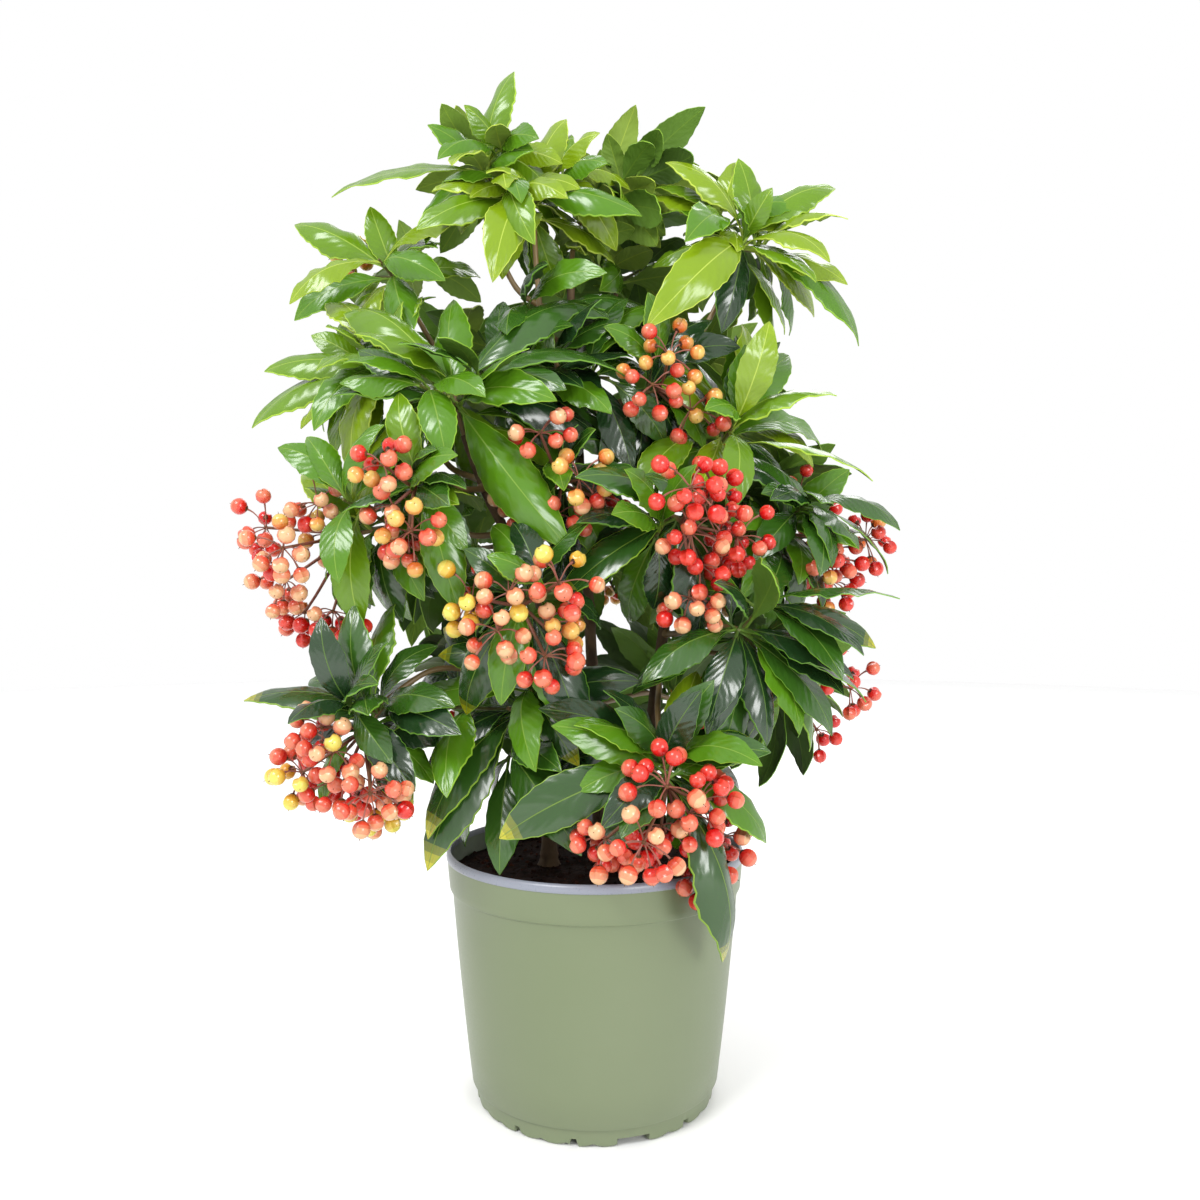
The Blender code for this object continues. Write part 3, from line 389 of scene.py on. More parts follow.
SHOOTS: tuple[Shoot, ...] = (
    Shoot("crown_left", "left", None, None, (240, 80), 20, 12, 52,
          ((-55, -20, 349), (-103, -48, 297), (12, -32, 313), (-16, -62, 293), (-3, -12, 347),
           (-12, -58, 236), (6, -18, 286), (-109, -8, 342), (-102, -32, 251), (-33, 0, 333))),
    Shoot("crown_far_left", "left", 266, (-84, -14, 308), (170, 55), 12, 8, 50,
          ((-142, -15, 316), (-150, -25, 294), (-117, -38, 283), (-101, -36, 267),
           (-120, 10, 350))),
    Shoot("crown_peak", "centre", 345, (-48, 8, 398), (120, 80), 14, 10, 46,
          ((-37, 4, 451), (-71, -8, 422), (-117, 0, 395), (-87, -14, 376), (-16, 20, 422))),
    Shoot("crown_top_left", "centre", 330, (-27, 2, 378), (200, 82), 18, 14, 46,
          ((-14, 10, 433), (8, 6, 426), (-69, -14, 393), (-73, -26, 370), (-46, -38, 351),
           (18, -22, 380), (-14, -30, 358))),
    Shoot("crown_top_right", "centre", None, None, (12, 12), 54, 3, 46,
          ((24, 62, 408), (10, -16, 386), (-6, 46, 424), (30, -14, 380), (50, 56, 404),
           (18, 18, 441), (40, 42, 440), (60, 34, 424), (56, 18, 434), (44, -8, 408),
           (69, 4, 392))),
    Shoot("crown_top_back", "centre", 322, (10, 56, 366), (80, 60), 16, 15, 54),
    Shoot("crown_right_high", "centre", 300, (62, -2, 364), (40, 65), 14, 10, 50,
          ((106, 0, 398), (92, -28, 349), (119, -6, 331), (110, 12, 350), (24, -38, 329),
           (56, -12, 332), (23, -4, 411), (44, 24, 432))),
    Shoot("crown_left_high", "centre", 292, (-86, 10, 352), (160, 60), 15, 12, 48,
          ((-101, 6, 391), (-109, -14, 323), (-136, 4, 344), (-137, 12, 387), (-79, -16, 327),
           (-74, 36, 388)), 1, 6, 30),
    Shoot("crown_right", "right", None, None, (50, 78), 18, 12, 54,
          ((69, 2, 338), (104, -14, 309), (116, -28, 268), (20, 12, 337), (33, -10, 331),
           (71, -34, 259), (43, -32, 260), (92, 30, 332))),
    Shoot("crown_middle", "centre", 314, None, (250, 35), 26, 16, 54),
    Shoot("crown_back_left", "centre", 275, (-50, 58, 316), (125, 55), 16, 14, 58),
    Shoot("crown_back_right", "centre", 262, (50, 56, 300), (55, 55), 16, 14, 58),
    Shoot("spray_left", "left", 244, (-76, -20, 248), (190, -14), 22, 8, 46,
          ((-90, -14, 210), (-82, -20, 205), (-127, -10, 270)), 7, 9, 62, 30),
    Shoot("spray_left_low", "left", 184, (-84, -36, 174), (215, -50), 12, 8, 52,
          ((-139, -46, 176), (-82, -24, 214), (-96, -50, 212), (-74, -40, 130)), 8, 10, 68, 26),
    Shoot("spray_front_low", "right", 182, (26, -50, 156), (280, -52), 14, 3, 50,
          ((-37, -62, 125), (41, -44, 187), (68, -54, 121), (54, -64, 77)), 9, 9, 76, 26),
    Shoot("spray_front", "left", 226, (-26, -42, 218), (262, -22), 14, 8, 48,
          ((-36, -64, 176), (-3, -60, 160), (-58, -40, 170)), 6, 8, 80, 22),
    Shoot("spray_centre", "centre", 262, (-12, -18, 268), (262, -24), 12, 10, 46,
          ((-45, -44, 212), (6, -34, 230)), 5, 8, 78, 21),
    Shoot("spray_centre_right", "right", 240, (28, -30, 252), (300, -24), 14, 8, 48,
          ((42, -40, 198), (-14, -50, 216)), 8, 9, 74, 22),
    Shoot("spray_right", "right", 232, (72, 2, 246), (350, -10), 14, 8, 50,
          ((113, -14, 238), (96, -24, 212), (93, 10, 204)), 6, 9, 52, 27),
    Shoot("spray_under_left", "left", 262, (-64, -44, 262), (235, -20), 10, 5, 46,
          ((-53, -56, 211), (-98, -56, 250)), 4, 8, 66, 20),
    Shoot("spray_under_right", "right", 256, (64, 24, 264), (30, 0), 12, 8, 50,
          ((118, 20, 274),), 3, 7, 60, 24),
    Shoot("spray_upper_centre", "centre", 288, (16, -2, 304), (330, 8), 12, 8, 48,
          ((20, 4, 348), (40, -20, 328)), 4, 8, 84, 26),
    Shoot("spray_right_low", "right", 192, (68, 26, 188), (12, -12), 14, 9, 56,
          ((76, 10, 130), (97, 20, 134), (123, 40, 170)), 4, 7, 56, 28),
    Shoot("spray_back_left", "left", 234, (-56, 52, 240), (140, -6), 16, 8, 58, (), 3, 8),
    Shoot("spray_back", "centre", 228, (2, 74, 236), (90, -6), 16, 8, 58, (), 3, 8),
    Shoot("spray_back_right", "right", 218, (58, 60, 228), (48, -6), 16, 8, 58, (), 3, 8),
    Shoot("spray_back_low_left", "centre", 176, (-48, 62, 172), (130, -20), 14, 9, 60, (), 3, 8),
    Shoot("spray_back_low_right", "centre", 166, (38, 70, 164), (62, -20), 14, 7, 60, (), 3, 8),
    Shoot("skirt_left", "left", 168, None, (232, 12), 24, 12, 62,
          ((-67, -46, 121), (-76, -52, 108), (-24, -44, 137), (-66, -20, 112), (-12, -44, 160))),
    Shoot("skirt_right", "right", 200, (52, -28, 204), (330, -10), 14, 12, 60,
          ((4, -52, 202), (69, -50, 158), (55, -50, 148), (41, -56, 162), (92, -24, 152),
           (20, -46, 150), (95, 0, 165))),
)

# The letters that stand for the members of Tone and Ripeness, in their order.
TONES = dict(zip("FSMPDT", Tone))
RIPE = dict(zip("RCSOYL", Ripeness))


def dress(tips: str, leaves: str, berries: str = "RC", fine: int = FINE_LEAVES) -> Dress:
    """Return the dress that three rows of letters stand for."""
    return Dress(tuple(TONES[letter] for letter in tips), tuple(TONES[letter] for letter in leaves),
                 tuple(RIPE[letter] for letter in berries), fine)


DRESSES: dict[str, Dress] = {
    "crown_left": dress("MPPMPMDSFP", "MSFMPM"),
    "crown_far_left": dress("SSMFF", "SFMS"),
    "crown_peak": dress("SMSMS", "FSFM", fine=46),
    "crown_top_left": dress("FFFSFMP", "FSFFM", fine=90),
    "crown_top_right": dress("FFFMP", "FSFM"),
    "crown_top_back": dress("S", "SMFP"),
    "crown_right_high": dress("SSMMFDFF", "FSMF"),
    "crown_left_high": dress("SFMSMS", "SMFS", "YOL", 12),
    "crown_right": dress("FSSDFFFM", "MSFPM"),
    "crown_middle": dress("P", "PDMP", fine=84),
    "crown_back_left": dress("M", "MSPF"),
    "crown_back_right": dress("M", "SMPF"),
    "spray_left": dress("MPF", "MPSM", "RSCRSO"),
    "spray_left_low": dress("TMPT", "DMTP", "SCYSCR"),
    "spray_front_low": dress("TFMT", "MTD", "CRCSCRC"),
    "spray_front": dress("MDT", "DPM", "YSCSOC"),
    "spray_centre": dress("PM", "PDM", "SCOS"),
    "spray_centre_right": dress("DT", "PDM", "RCRCSR"),
    "spray_right": dress("MDP", "PMD", "RCOR"),
    "spray_under_left": dress("MP", "MPS", "CSO"),
    "spray_under_right": dress("P", "PMD", "RC"),
    "spray_upper_centre": dress("PD", "DPM", "OC"),
    "spray_right_low": dress("PDM", "DPM", "RCR"),
    "spray_back_left": dress("M", "MPSM", "RSC"),
    "spray_back": dress("M", "MPMS", "CRO"),
    "spray_back_right": dress("M", "PMSM", "RCS"),
    "spray_back_low_left": dress("M", "DPMT", "CSR"),
    "spray_back_low_right": dress("M", "DMPT", "RCO"),
    "skirt_left": dress("TTDPM", "DPTM"),
    "skirt_right": dress("DDPDMPM", "DPTMD"),
}


def add_cone(mesh: BMesh, sides: int, foot: float, top: float, depth: float = 1.0,
             middle: float = 0.5, fans: bool = False) -> None:
    """Add a cone or rod round the Z axis to a mesh.

    Args:
        mesh: the mesh.
        sides: how many sides it has.
        foot: its radius at the foot.
        top: its radius at the top.
        depth: its height.
        middle: z of its middle.
        fans: whether its ends are fans of triangles.
    """
    bmesh.ops.create_cone(mesh, cap_ends=True, cap_tris=fans, segments=sides, radius1=foot,
                          radius2=top, depth=depth, matrix=Matrix.Translation(UP * middle))


def cut_level(mesh: BMesh, heights: Iterable[float]) -> None:
    """Cut a mesh level.

    Args:
        mesh: the mesh.
        heights: where it is cut.
    """
    for height in heights:
        bmesh.ops.bisect_plane(mesh, geom=[*mesh.verts, *mesh.edges, *mesh.faces],
                               plane_co=(0.0, 0.0, height), plane_no=UP)


def unit_ball(subdivisions: int) -> BMesh:
    """Return a ball of radius 1.

    Args:
        subdivisions: how finely it is cut.

    Returns:
        The ball.
    """
    mesh = bmesh.new()
    bmesh.ops.create_icosphere(mesh, subdivisions=subdivisions, radius=1.0)
    return mesh


# How many sides the solids have that only test whether a place is free.
TEST_SIDES = 3


class Shape:
    """Vertices and faces of a small closed solid that only tests whether a place is free."""

    def __init__(self, mesh: BMesh) -> None:
        """Take over the vertices and faces of a mesh.

        Args:
            mesh: the mesh, which is freed.
        """
        self.spots = [v.co.copy() for v in mesh.verts]
        self.faces = [tuple(v.index for v in f.verts) for f in mesh.faces]
        mesh.free()

    @classmethod
    def leaf(cls, rings: Iterable[float]) -> "Shape":
        """Return a leaf as a three-sided spindle of unit size.

        Args:
            rings: where it is cut between its ends.

        Returns:
            The shape.
        """
        mesh = bmesh.new()
        add_cone(mesh, TEST_SIDES, 1.0, 0.0)
        bmesh.ops.remove_doubles(mesh, verts=mesh.verts, dist=UNIT_WELD)
        cut_level(mesh, rings)
        for vert in mesh.verts:
            reach = math.hypot(vert.co.x, vert.co.y)
            if reach > UNIT_WELD:
                vert.co.x /= reach
                vert.co.y /= reach
        mesh.verts.index_update()
        return cls(mesh)

    @classmethod
    def rod(cls) -> "Shape":
        """Return a three-sided rod of radius 1 whose z runs from 0 to 1.

        Returns:
            The shape.
        """
        mesh = bmesh.new()
        add_cone(mesh, TEST_SIDES, 1.0, 1.0)
        return cls(mesh)


LEAF = Shape.leaf(LEAF_RINGS)
PLAIN_LEAF = Shape.leaf(PLAIN_LEAF_RINGS)
ROD = Shape.rod()
BERRY = Shape(unit_ball(1))


@dataclass(frozen=True)
class Leaf:
    """One leaf: an arched blade from its root to its tip, on a short stalk."""

    root: Vector
    chord: Vector
    normal: Vector
    length: float
    bend: float
    blank: Shape
    tone: Tone = Tone.MIDDLE
    fine: bool = False

    def centre(self, share: float) -> Vector:
        """Return the middle of the blade.

        Args:
            share: at what share of its length.

        Returns:
            The place.
        """
        half = self.bend / 2
        angle = half - self.bend * share
        along = (math.sin(half) - math.sin(angle)) / self.bend
        rise = (math.cos(angle) - math.cos(half)) / self.bend
        return self.root + (self.chord * along + self.normal * rise) * self.length

    def solid(self, start: float = 0.0, clearance: float = 0.0) -> Solid:
        """Return the leaf as a solid.

        Args:
            start: the share of its length from which on it is taken.
            clearance: by how much it is grown.

        Returns:
            The solid.
        """
        across = self.normal.cross(self.chord)
        corners = []
        for spot in self.blank.spots:
            share = start + (1 - start) * spot.z
            blade = max(share - LEAF_STALK, 0.0) / (1 - LEAF_STALK)
            swell = max(math.sin(math.pi * blade ** LEAF_SKEW), 0.0) ** LEAF_FULLNESS
            width = LEAF_WIDTH * self.length * swell + LEAF_STALK_WIDTH * MM * (1 - share)
            depth = between((LEAF_STALK_THICKNESS, LEAF_THICKNESS), share) * MM
            side = across * spot.x * (width / 2 + clearance)
            face = self.normal * spot.y * (depth / 2 + clearance)
            corners.append(self.centre(share) + side + face)
        return corners, self.blank.faces


@dataclass(frozen=True)
class Rod:
    """A straight piece of twig or stalk between two points."""

    start: Vector
    end: Vector
    radius: float

    def solid(self, start: float = 0.0) -> Solid:
        """Return the rod as a solid.

        Args:
            start: the share of its length from which on it is taken.

        Returns:
            The solid.
        """
        run = self.end - self.start
        turn = run.to_track_quat("Z", "Y").to_matrix()
        corners = []
        for spot in ROD.spots:
            share = start + (1 - start) * spot.z
            side = Vector((spot.x * self.radius, spot.y * self.radius, 0.0))
            corners.append(self.start + run * share + turn @ side)
        return corners, ROD.faces


@dataclass(frozen=True)
class Fruit:
    """One berry at the end of its stalk."""

    stalk: Rod
    centre: Vector
    umbel: int

    def solid(self, clearance: float = 0.0) -> Solid:
        """Return the berry, grown by a clearance."""
        reach = BERRY_RADIUS * MM + clearance
        return [self.centre + spot * reach for spot in BERRY.spots], BERRY.faces


class Space:
    """What already stands somewhere, so that nothing else grows through it."""

    def __init__(self) -> None:
        """Start with nothing."""
        self.taken: list[tuple[Vector, float, BVHTree, str | None]] = []

    def add(self, solid: Solid, owner: str | None) -> None:
        """Take up the space of a solid that belongs to owner."""
        self.taken.append((*self.ball(solid[0]), BVHTree.FromPolygons(*solid), owner))

    def add_node(self, node: str, owner: str) -> None:
        """Take up the space of a CAD node.

        Args:
            node: its name.
            owner: whom it belongs to.
        """
        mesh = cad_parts[node].data
        corners = [vert.co.copy() for vert in mesh.vertices]
        self.add((corners, [tuple(face.vertices) for face in mesh.polygons]), owner)

    def clear(self, solid: Solid, own: str | None = None) -> bool:
        """Tell whether there is room for a solid.

        Args:
            solid: the solid.
            own: the owner of what it may touch.

        Returns:
            Whether it touches nothing else.
        """
        middle, reach = self.ball(solid[0])
        tree = BVHTree.FromPolygons(*solid)
        for other_middle, other_reach, other_tree, owner in self.taken:
            if owner == own or (middle - other_middle).length > reach + other_reach:
                continue
            if tree.overlap(other_tree):
                return False
        return True

    @staticmethod
    def ball(corners: list[Vector]) -> tuple[Vector, float]:
        """Return the centre and radius of a ball round some points."""
        middle = sum(corners, Vector()) / len(corners)
        return middle, max((corner - middle).length for corner in corners)


class StemPath:
    """The line and the thickness of one stem."""

    def __init__(self, stem: Stem) -> None:
        """Work out the line of a stem.

        Args:
            stem: the places that it passes.
        """
        self.name = stem.name
        foot, *rest = [Vector(place) * MM for place in stem.places]
        self.places = [foot + UP * FOOT_HEIGHT * MM, *rest]
        self.points = [foot, *smooth_path(self.places, 2)]
        self.foot, self.top = self.points[0].z, self.points[-1].z
        self.radii = [self.radius(point.z) for point in self.points]

    def radius(self, height: float) -> float:
        """Return the stem's radius, with the flare at its foot.

        Args:
            height: the height at which it is taken.

        Returns:
            The radius.
        """
        share = (height - self.foot) / (self.top - self.foot)
        rise = max(0.0, 1 - (height - self.foot) / (FLARE_HEIGHT * MM))
        flare = rise ** 2 * (FLARE_RADIUS - STEM_RADIUS)
        return (between((STEM_RADIUS, STEM_TIP_RADIUS), share) + flare) * MM

    def at(self, height: float) -> tuple[Vector, Vector, float]:
        """Find the stem at a height.

        Args:
            height: the height.

        Returns:
            Its place, direction and radius.
        """
        for number, (low, high) in enumerate(zip(self.points, self.points[1:])):
            if low.z <= height <= high.z:
                share = (height - low.z) / (high.z - low.z)
                radius = self.radii[number] * (1 - share) + self.radii[number + 1] * share
                return low.lerp(high, share), (high - low).normalized(), radius
        raise ValueError(f"the stem {self.name} doesn't pass {height}")

    def fork(self, height: float, towards: Vector) -> tuple[Vector, Vector]:
        """Let a limb leave the stem's side.

        Args:
            height: the height at which it leaves.
            towards: the point that it makes for.

        Returns:
            Where it starts, and its direction.
        """
        place, along, radius = self.at(height)
        outward = towards - place
        outward = (outward - along * outward.dot(along)).normalized()
        return place + outward * (radius + GAP), outward


class Mass:
    """One shoot as it grows: its bough's line, its twig's line, leaves and berries."""

    def __init__(self, shoot: Shoot, stems: dict[str, StemPath], space: Space) -> None:
        """Lay the bough and the twig of a shoot.

        Args:
            shoot: the shoot.
            stems: the stems by name.
            space: what already stands there, which all that grows joins.
        """
        self.shoot = shoot
        self.space = space
        self.dress = DRESSES[shoot.name]
        self.random = random.Random(shoot.name)
        self.phase = self.random.uniform(0.0, 360.0)
        self.bough: list[Vector] | None = None
        self.side_twigs: list[Rod] = []
        self.leaves: list[Leaf] = []
        self.peduncles: list[Rod] = []
        self.fruit: list[Fruit] = []
        heading = bearing(*shoot.heading)
        stem = stems[shoot.stem]
        if shoot.tip:
            tip = Vector(shoot.tip) * MM
            start, leave = stem.fork(shoot.fork * MM, tip)
            self.bough = [start, *arched_path(start + leave * STRAIGHT, leave,
                                              tip - heading * STRAIGHT, heading,
                                              BOUGH_ARCS), tip]
            start, leave = tip + heading * GAP, heading
        elif shoot.fork:
            place = stem.at(shoot.fork * MM)[0]
            start, leave = stem.fork(shoot.fork * MM, place + heading)
        else:
            leave = (stem.points[-1] - stem.points[-2]).normalized()
            start = stem.points[-1] + leave * GAP
        end = start + (leave + heading).normalized() * shoot.twig * MM
        self.twig = arched_path(start, leave, end, heading, TWIG_ARCS)

    def on_twig(self, share: float) -> tuple[Vector, Vector]:
        """Find the twig at a share of its length.

        Args:
            share: the share.

        Returns:
            Its place and direction.
        """
        run = share * (len(self.twig) - 1)
        number = min(int(run), len(self.twig) - 2)
        low, high = self.twig[number], self.twig[number + 1]
        return low.lerp(high, run - number), (high - low).normalized()

    def leaf(self, root: Vector, chord: Vector, reach: float, blank: Shape) -> Leaf:
        """Return a leaf whose face looks up, away from the plant's middle, to front or back.

        Args:
            root: where it stands on its twig.
            chord: the direction of its tip.
            reach: how far away its tip is.
            blank: the shape that tests whether its place is free.

        Returns:
            The leaf.
        """
        outward = Vector((root.x, root.y, 0.0)).normalized()
        side = -1.0 if root.y < MIDDLE_Y * MM else 1.0
        lean = LEAF_LEAN + HIGH_LEAF_LEAN * max(0.0, (root.z / MM - HIGH_LEAF_Z) / HIGH_LEAF_RISE)
        sky = UP + outward * LEAF_OUTWARD + Vector((0.0, side, 0.0)) * lean
        normal = (sky - chord * sky.dot(chord)).normalized()
        roll = math.radians(self.random.uniform(-LEAF_ROLL, LEAF_ROLL))
        normal.rotate(Matrix.Rotation(roll, 3, chord))
        bend = math.radians(self.random.uniform(*LEAF_BEND))
        return Leaf(root, chord, normal, reach * bend / (2 * math.sin(bend / 2)), bend, blank)

    def add_leaf(self, root: Vector, chord: Vector, reach: float, lean: float,
                 blank: Shape, tone: Tone, tries: int = LEAF_TRIES,
                 within: Box | None = None) -> None:
        """Add a leaf, turned or shortened a little where it would touch something.

        Args:
            root: where the leaf stands on its twig.
            chord: the direction of its tip.
            reach: how far away its tip is.
            lean: by how many degrees each try turns it.
            blank: the shape that tests whether its place is free.
            tone: how old it is and how much painted shade darkens it.
            tries: how often it is turned before it is left out.
            within: a box that it may not leave.
        """
        for attempt in range(tries):
            leaf = self.leaf(root, chord, reach * (1 - LEAF_SHRINK * attempt), blank)
            whole = leaf.solid()
            inside = within is None or all(
                low <= value <= high
                for spot in whole[0] for low, value, high in zip(within[0], spot, within[1]))
            free = leaf.solid(LEAF_FREE_FROM, LEAF_CLEARANCE * MM)
            if inside and self.space.clear(free) and self.space.clear(whole, self.shoot.name):
                self.space.add(leaf.solid(LEAF_FREE_FROM), None)
                self.space.add(whole, self.shoot.name)
                self.leaves.append(replace(leaf, tone=tone, fine=within is not None))
                return
            chord = tilted(chord, self.random.uniform(0, 360), lean)

    def grow_side_twigs(self) -> None:
        """Branch side twigs off the twig, one for every few leaves, by the golden angle."""
        count = self.shoot.leaves // LEAVES_PER_TWIG
        for number in range(count):
            root, along = self.on_twig(between(SIDE_TWIG_ZONE, (number + 0.5) / count))
            leave = tilted(along, self.phase + (number + 0.5) * GOLDEN_ANGLE, SIDE_TWIG_LEAN)
            length = self.shoot.twig * self.random.uniform(*SIDE_TWIG_REACH) * MM
            twig = Rod(root, root + leave * length, SIDE_TWIG_RADIUS * MM)
            if self.space.clear(twig.solid(ROD_FREE_FROM), self.shoot.name):
                self.space.add(twig.solid(), self.shoot.name)
                self.side_twigs.append(twig)

    def grow_leaf_tips(self) -> None:
        """Add the leaves that stand out in the photo."""
        count = len(self.shoot.leaf_tips)
        for number, tip in enumerate(self.shoot.leaf_tips):
            root = self.on_twig(between(TIP_LEAF_ZONE, (number + 0.5) / count))[0]
            run = Vector(tip) * MM - root
            tone = self.dress.tips[number % len(self.dress.tips)]
            self.add_leaf(root, run.normalized(), run.length, TIP_LEAF_NUDGE, LEAF, tone)

    def grow_leaves(self) -> None:
        """Deal leaves out to the twigs by the golden angle, the youngest smaller and steeper."""
        for number in range(self.shoot.leaves):
            share = (number + 0.5) / self.shoot.leaves
            root, along = self.leaf_root(number, LEAF_ZONE, share)
            turn = self.phase + number * GOLDEN_ANGLE
            chord = tilted(along, turn, between(LEAF_ANGLES, share))
            chord = (chord - UP * LEAF_DROOP).normalized()
            reach = self.shoot.blade * (1 - YOUNG_LEAF_LOSS * share * share)
            reach *= self.random.uniform(*LEAF_REACH)
            tone = self.dress.leaves[number % len(self.dress.leaves)]
            self.add_leaf(root, chord, reach * MM, LEAF_NUDGE, PLAIN_LEAF, tone)

    def leaf_root(self, number: int, zone: Pair, share: float) -> tuple[Vector, Vector]:
        """Find the root of a leaf, the twigs taking turns.

        Args:
            number: the leaf's number.
            zone: where leaves stand on the main twig.
            share: how far along that zone it stands.

        Returns:
            The root, and the direction of its twig.
        """
        twigs = [None, *self.side_twigs]
        twig = twigs[number % len(twigs)]
        if twig is None:
            return self.on_twig(between(zone, share))
        along = (twig.end - twig.start).normalized()
        return twig.start.lerp(twig.end, between(SIDE_LEAF_ZONE, share)), along

    def grow_fine_leaves(self, reach: Box) -> None:
        """Add smaller leaves between those of the solids.

        Args:
            reach: the box that they may not leave.
        """
        self.random = random.Random(self.shoot.name + "_fine")
        for number in range(self.dress.fine):
            share = (number + 0.5) / self.dress.fine
            root, along = self.leaf_root(number, FINE_ZONE, share)
            turn = self.phase + (number + FINE_SHIFT) * GOLDEN_ANGLE
            chord = tilted(along, turn, between(FINE_ANGLES, share))
            length = self.shoot.blade * self.random.uniform(*FINE_REACH) * MM
            if root.z > TOP_FROM * MM:
                length *= TOP_FINE
            tone = self.dress.leaves[(number + 1) % len(self.dress.leaves)]
            self.add_leaf(root, chord, length, FINE_NUDGE, LEAF, tone, FINE_TRIES, reach)

    def grow_umbels(self) -> None:
        """End the twig in umbels that fan out, each turned on where its stalk touches something."""
        for number in range(self.shoot.umbels):
            fan = self.shoot.fan * math.sqrt((number + 0.5) / self.shoot.umbels)
            for attempt in range(STALK_TRIES):
                turn = self.phase + number * GOLDEN_ANGLE + attempt * STALK_NUDGE
                if self.add_umbel(turn, fan):
                    break

    def add_umbel(self, turn: float, fan: float) -> bool:
        """Add a stalk with berries all round its end.

        Args:
            turn: to which side of the twig it leans.
            fan: by how many degrees it leans.

        Returns:
            Whether there was room for it.
        """
        tip, along = self.on_twig(1.0)
        leave = (tilted(along, turn, fan) - UP * STALK_DROOP).normalized()
        length = self.shoot.stalk * self.random.uniform(*STALK_REACH) * MM
        stalk = Rod(tip - leave * STALK_SUNK * MM, tip + leave * length, PEDUNCLE_RADIUS * MM)
        if not self.space.clear(stalk.solid(ROD_FREE_FROM), self.shoot.name):
            return False
        self.space.add(stalk.solid(), self.shoot.name)
        self.peduncles.append(stalk)
        for berry in range(self.shoot.berries):
            self.add_berry(stalk.end, leave, berry)
        return True

    def add_berry(self, foot: Vector, along: Vector, number: int) -> None:
        """Add one berry of an umbel, where there is room for it.

        Args:
            foot: where the berries' stalks start.
            along: the direction of the umbel's stalk.
            number: the berry's number.
        """
        share = math.sqrt((number + 0.5) / self.shoot.berries)
        for attempt in range(BERRY_TRIES):
            turn = number * GOLDEN_ANGLE + attempt * PEDICEL_NUDGE
            turn += self.random.uniform(-PEDICEL_TURN, PEDICEL_TURN)
            leave = tilted(along, turn, between(PEDICEL_ANGLES, share)) - UP * PEDICEL_DROOP
            length = PEDICEL_LENGTH * self.random.uniform(*PEDICEL_REACH) * MM
            end = foot + leave.normalized() * length
            start = foot - along * PEDICEL_SUNK * MM
            fruit = Fruit(Rod(start, end, PEDICEL_RADIUS * MM), end, len(self.peduncles))
            ball, stalk = fruit.solid(BERRY_CLEARANCE * MM), fruit.stalk.solid(ROD_FREE_FROM)
            if self.space.clear(ball, NOBODY) and self.space.clear(stalk, NOBODY):
                self.space.add(fruit.solid(), None)
                self.space.add(fruit.stalk.solid(), self.shoot.name)
                self.fruit.append(fruit)
                return


class Growth:
    """The whole plant as lines, leaves and berries, grown in the order of the part's source."""

    def __init__(self) -> None:
        """Lay out the stems and the masses."""
        self.space = Space()
        self.stems = {stem.name: StemPath(stem) for stem in STEMS}
        self.masses = [Mass(shoot, self.stems, self.space) for shoot in SHOOTS]

    def grow(self) -> None:
        """Grow twigs, leaves and umbels, each clear of the others."""
        for node in ("pot", "soil"):
            self.space.add_node(node, "pot")
        limbs = ["stem_" + name for name in self.stems]
        limbs += ["bough_" + mass.shoot.name for mass in self.masses if mass.bough]
        for node in limbs:
            self.space.add_node(node, node)
        for mass in self.masses:
            for start, end in zip(mass.twig, mass.twig[1:]):
                self.space.add(Rod(start, end, TWIG_RADIUS * MM).solid(), mass.shoot.name)
        for step in (Mass.grow_side_twigs, Mass.grow_leaf_tips, Mass.grow_umbels, Mass.grow_leaves):
            for mass in self.masses:
                step(mass)
        LOG.info("the solids' leaves: %d, berries: %d", sum(len(m.leaves) for m in self.masses),
                 sum(len(m.fruit) for m in self.masses))
        margin = Vector((REACH_MARGIN,) * 3)
        for mass in self.masses:
            low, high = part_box(mass.shoot.name)
            mass.grow_fine_leaves((low - margin, high + margin))
        LOG.info("leaves with the finer ones: %d", sum(len(m.leaves) for m in self.masses))


# How the materials' textures look.
COAT_ROUGHNESS = 0.12
NOISE_DETAIL = 4.0
PATCH_SHARES = (0.38, 0.68)
GRAIN_SHARES = (0.3, 0.7)
RELIEF_STRENGTH = 0.8
VEIN_STRENGTH = 0.55
VEIN_DEPTH = 0.12
VEIN_DISTORTION = 2.2
VEIN_DETAIL = 2.0
# A wave texture has twenty radians to a unit of its scale.
WAVE_PERIOD = 2 * math.pi / 20


def feed(node: Node, inputs: dict[str, object]) -> None:
    """Set or link a node's inputs.

    Args:
        node: the node.
        inputs: the value of each, or the socket that it is linked to.
    """
    for name, value in inputs.items():
        if isinstance(value, NodeSocket):
            node.id_data.links.new(value, node.inputs[name])
        else:
            node.inputs[name].default_value = value


def new_node(tree: NodeTree, kind: str, inputs: dict[str, object]) -> Node:
    """Add a shader node.

    Args:
        tree: the tree that it joins.
        kind: what kind it is.
        inputs: the value of each input, or the socket that it is linked to.

    Returns:
        The node.
    """
    node = tree.nodes.new("ShaderNode" + kind)
    feed(node, inputs)
    return node


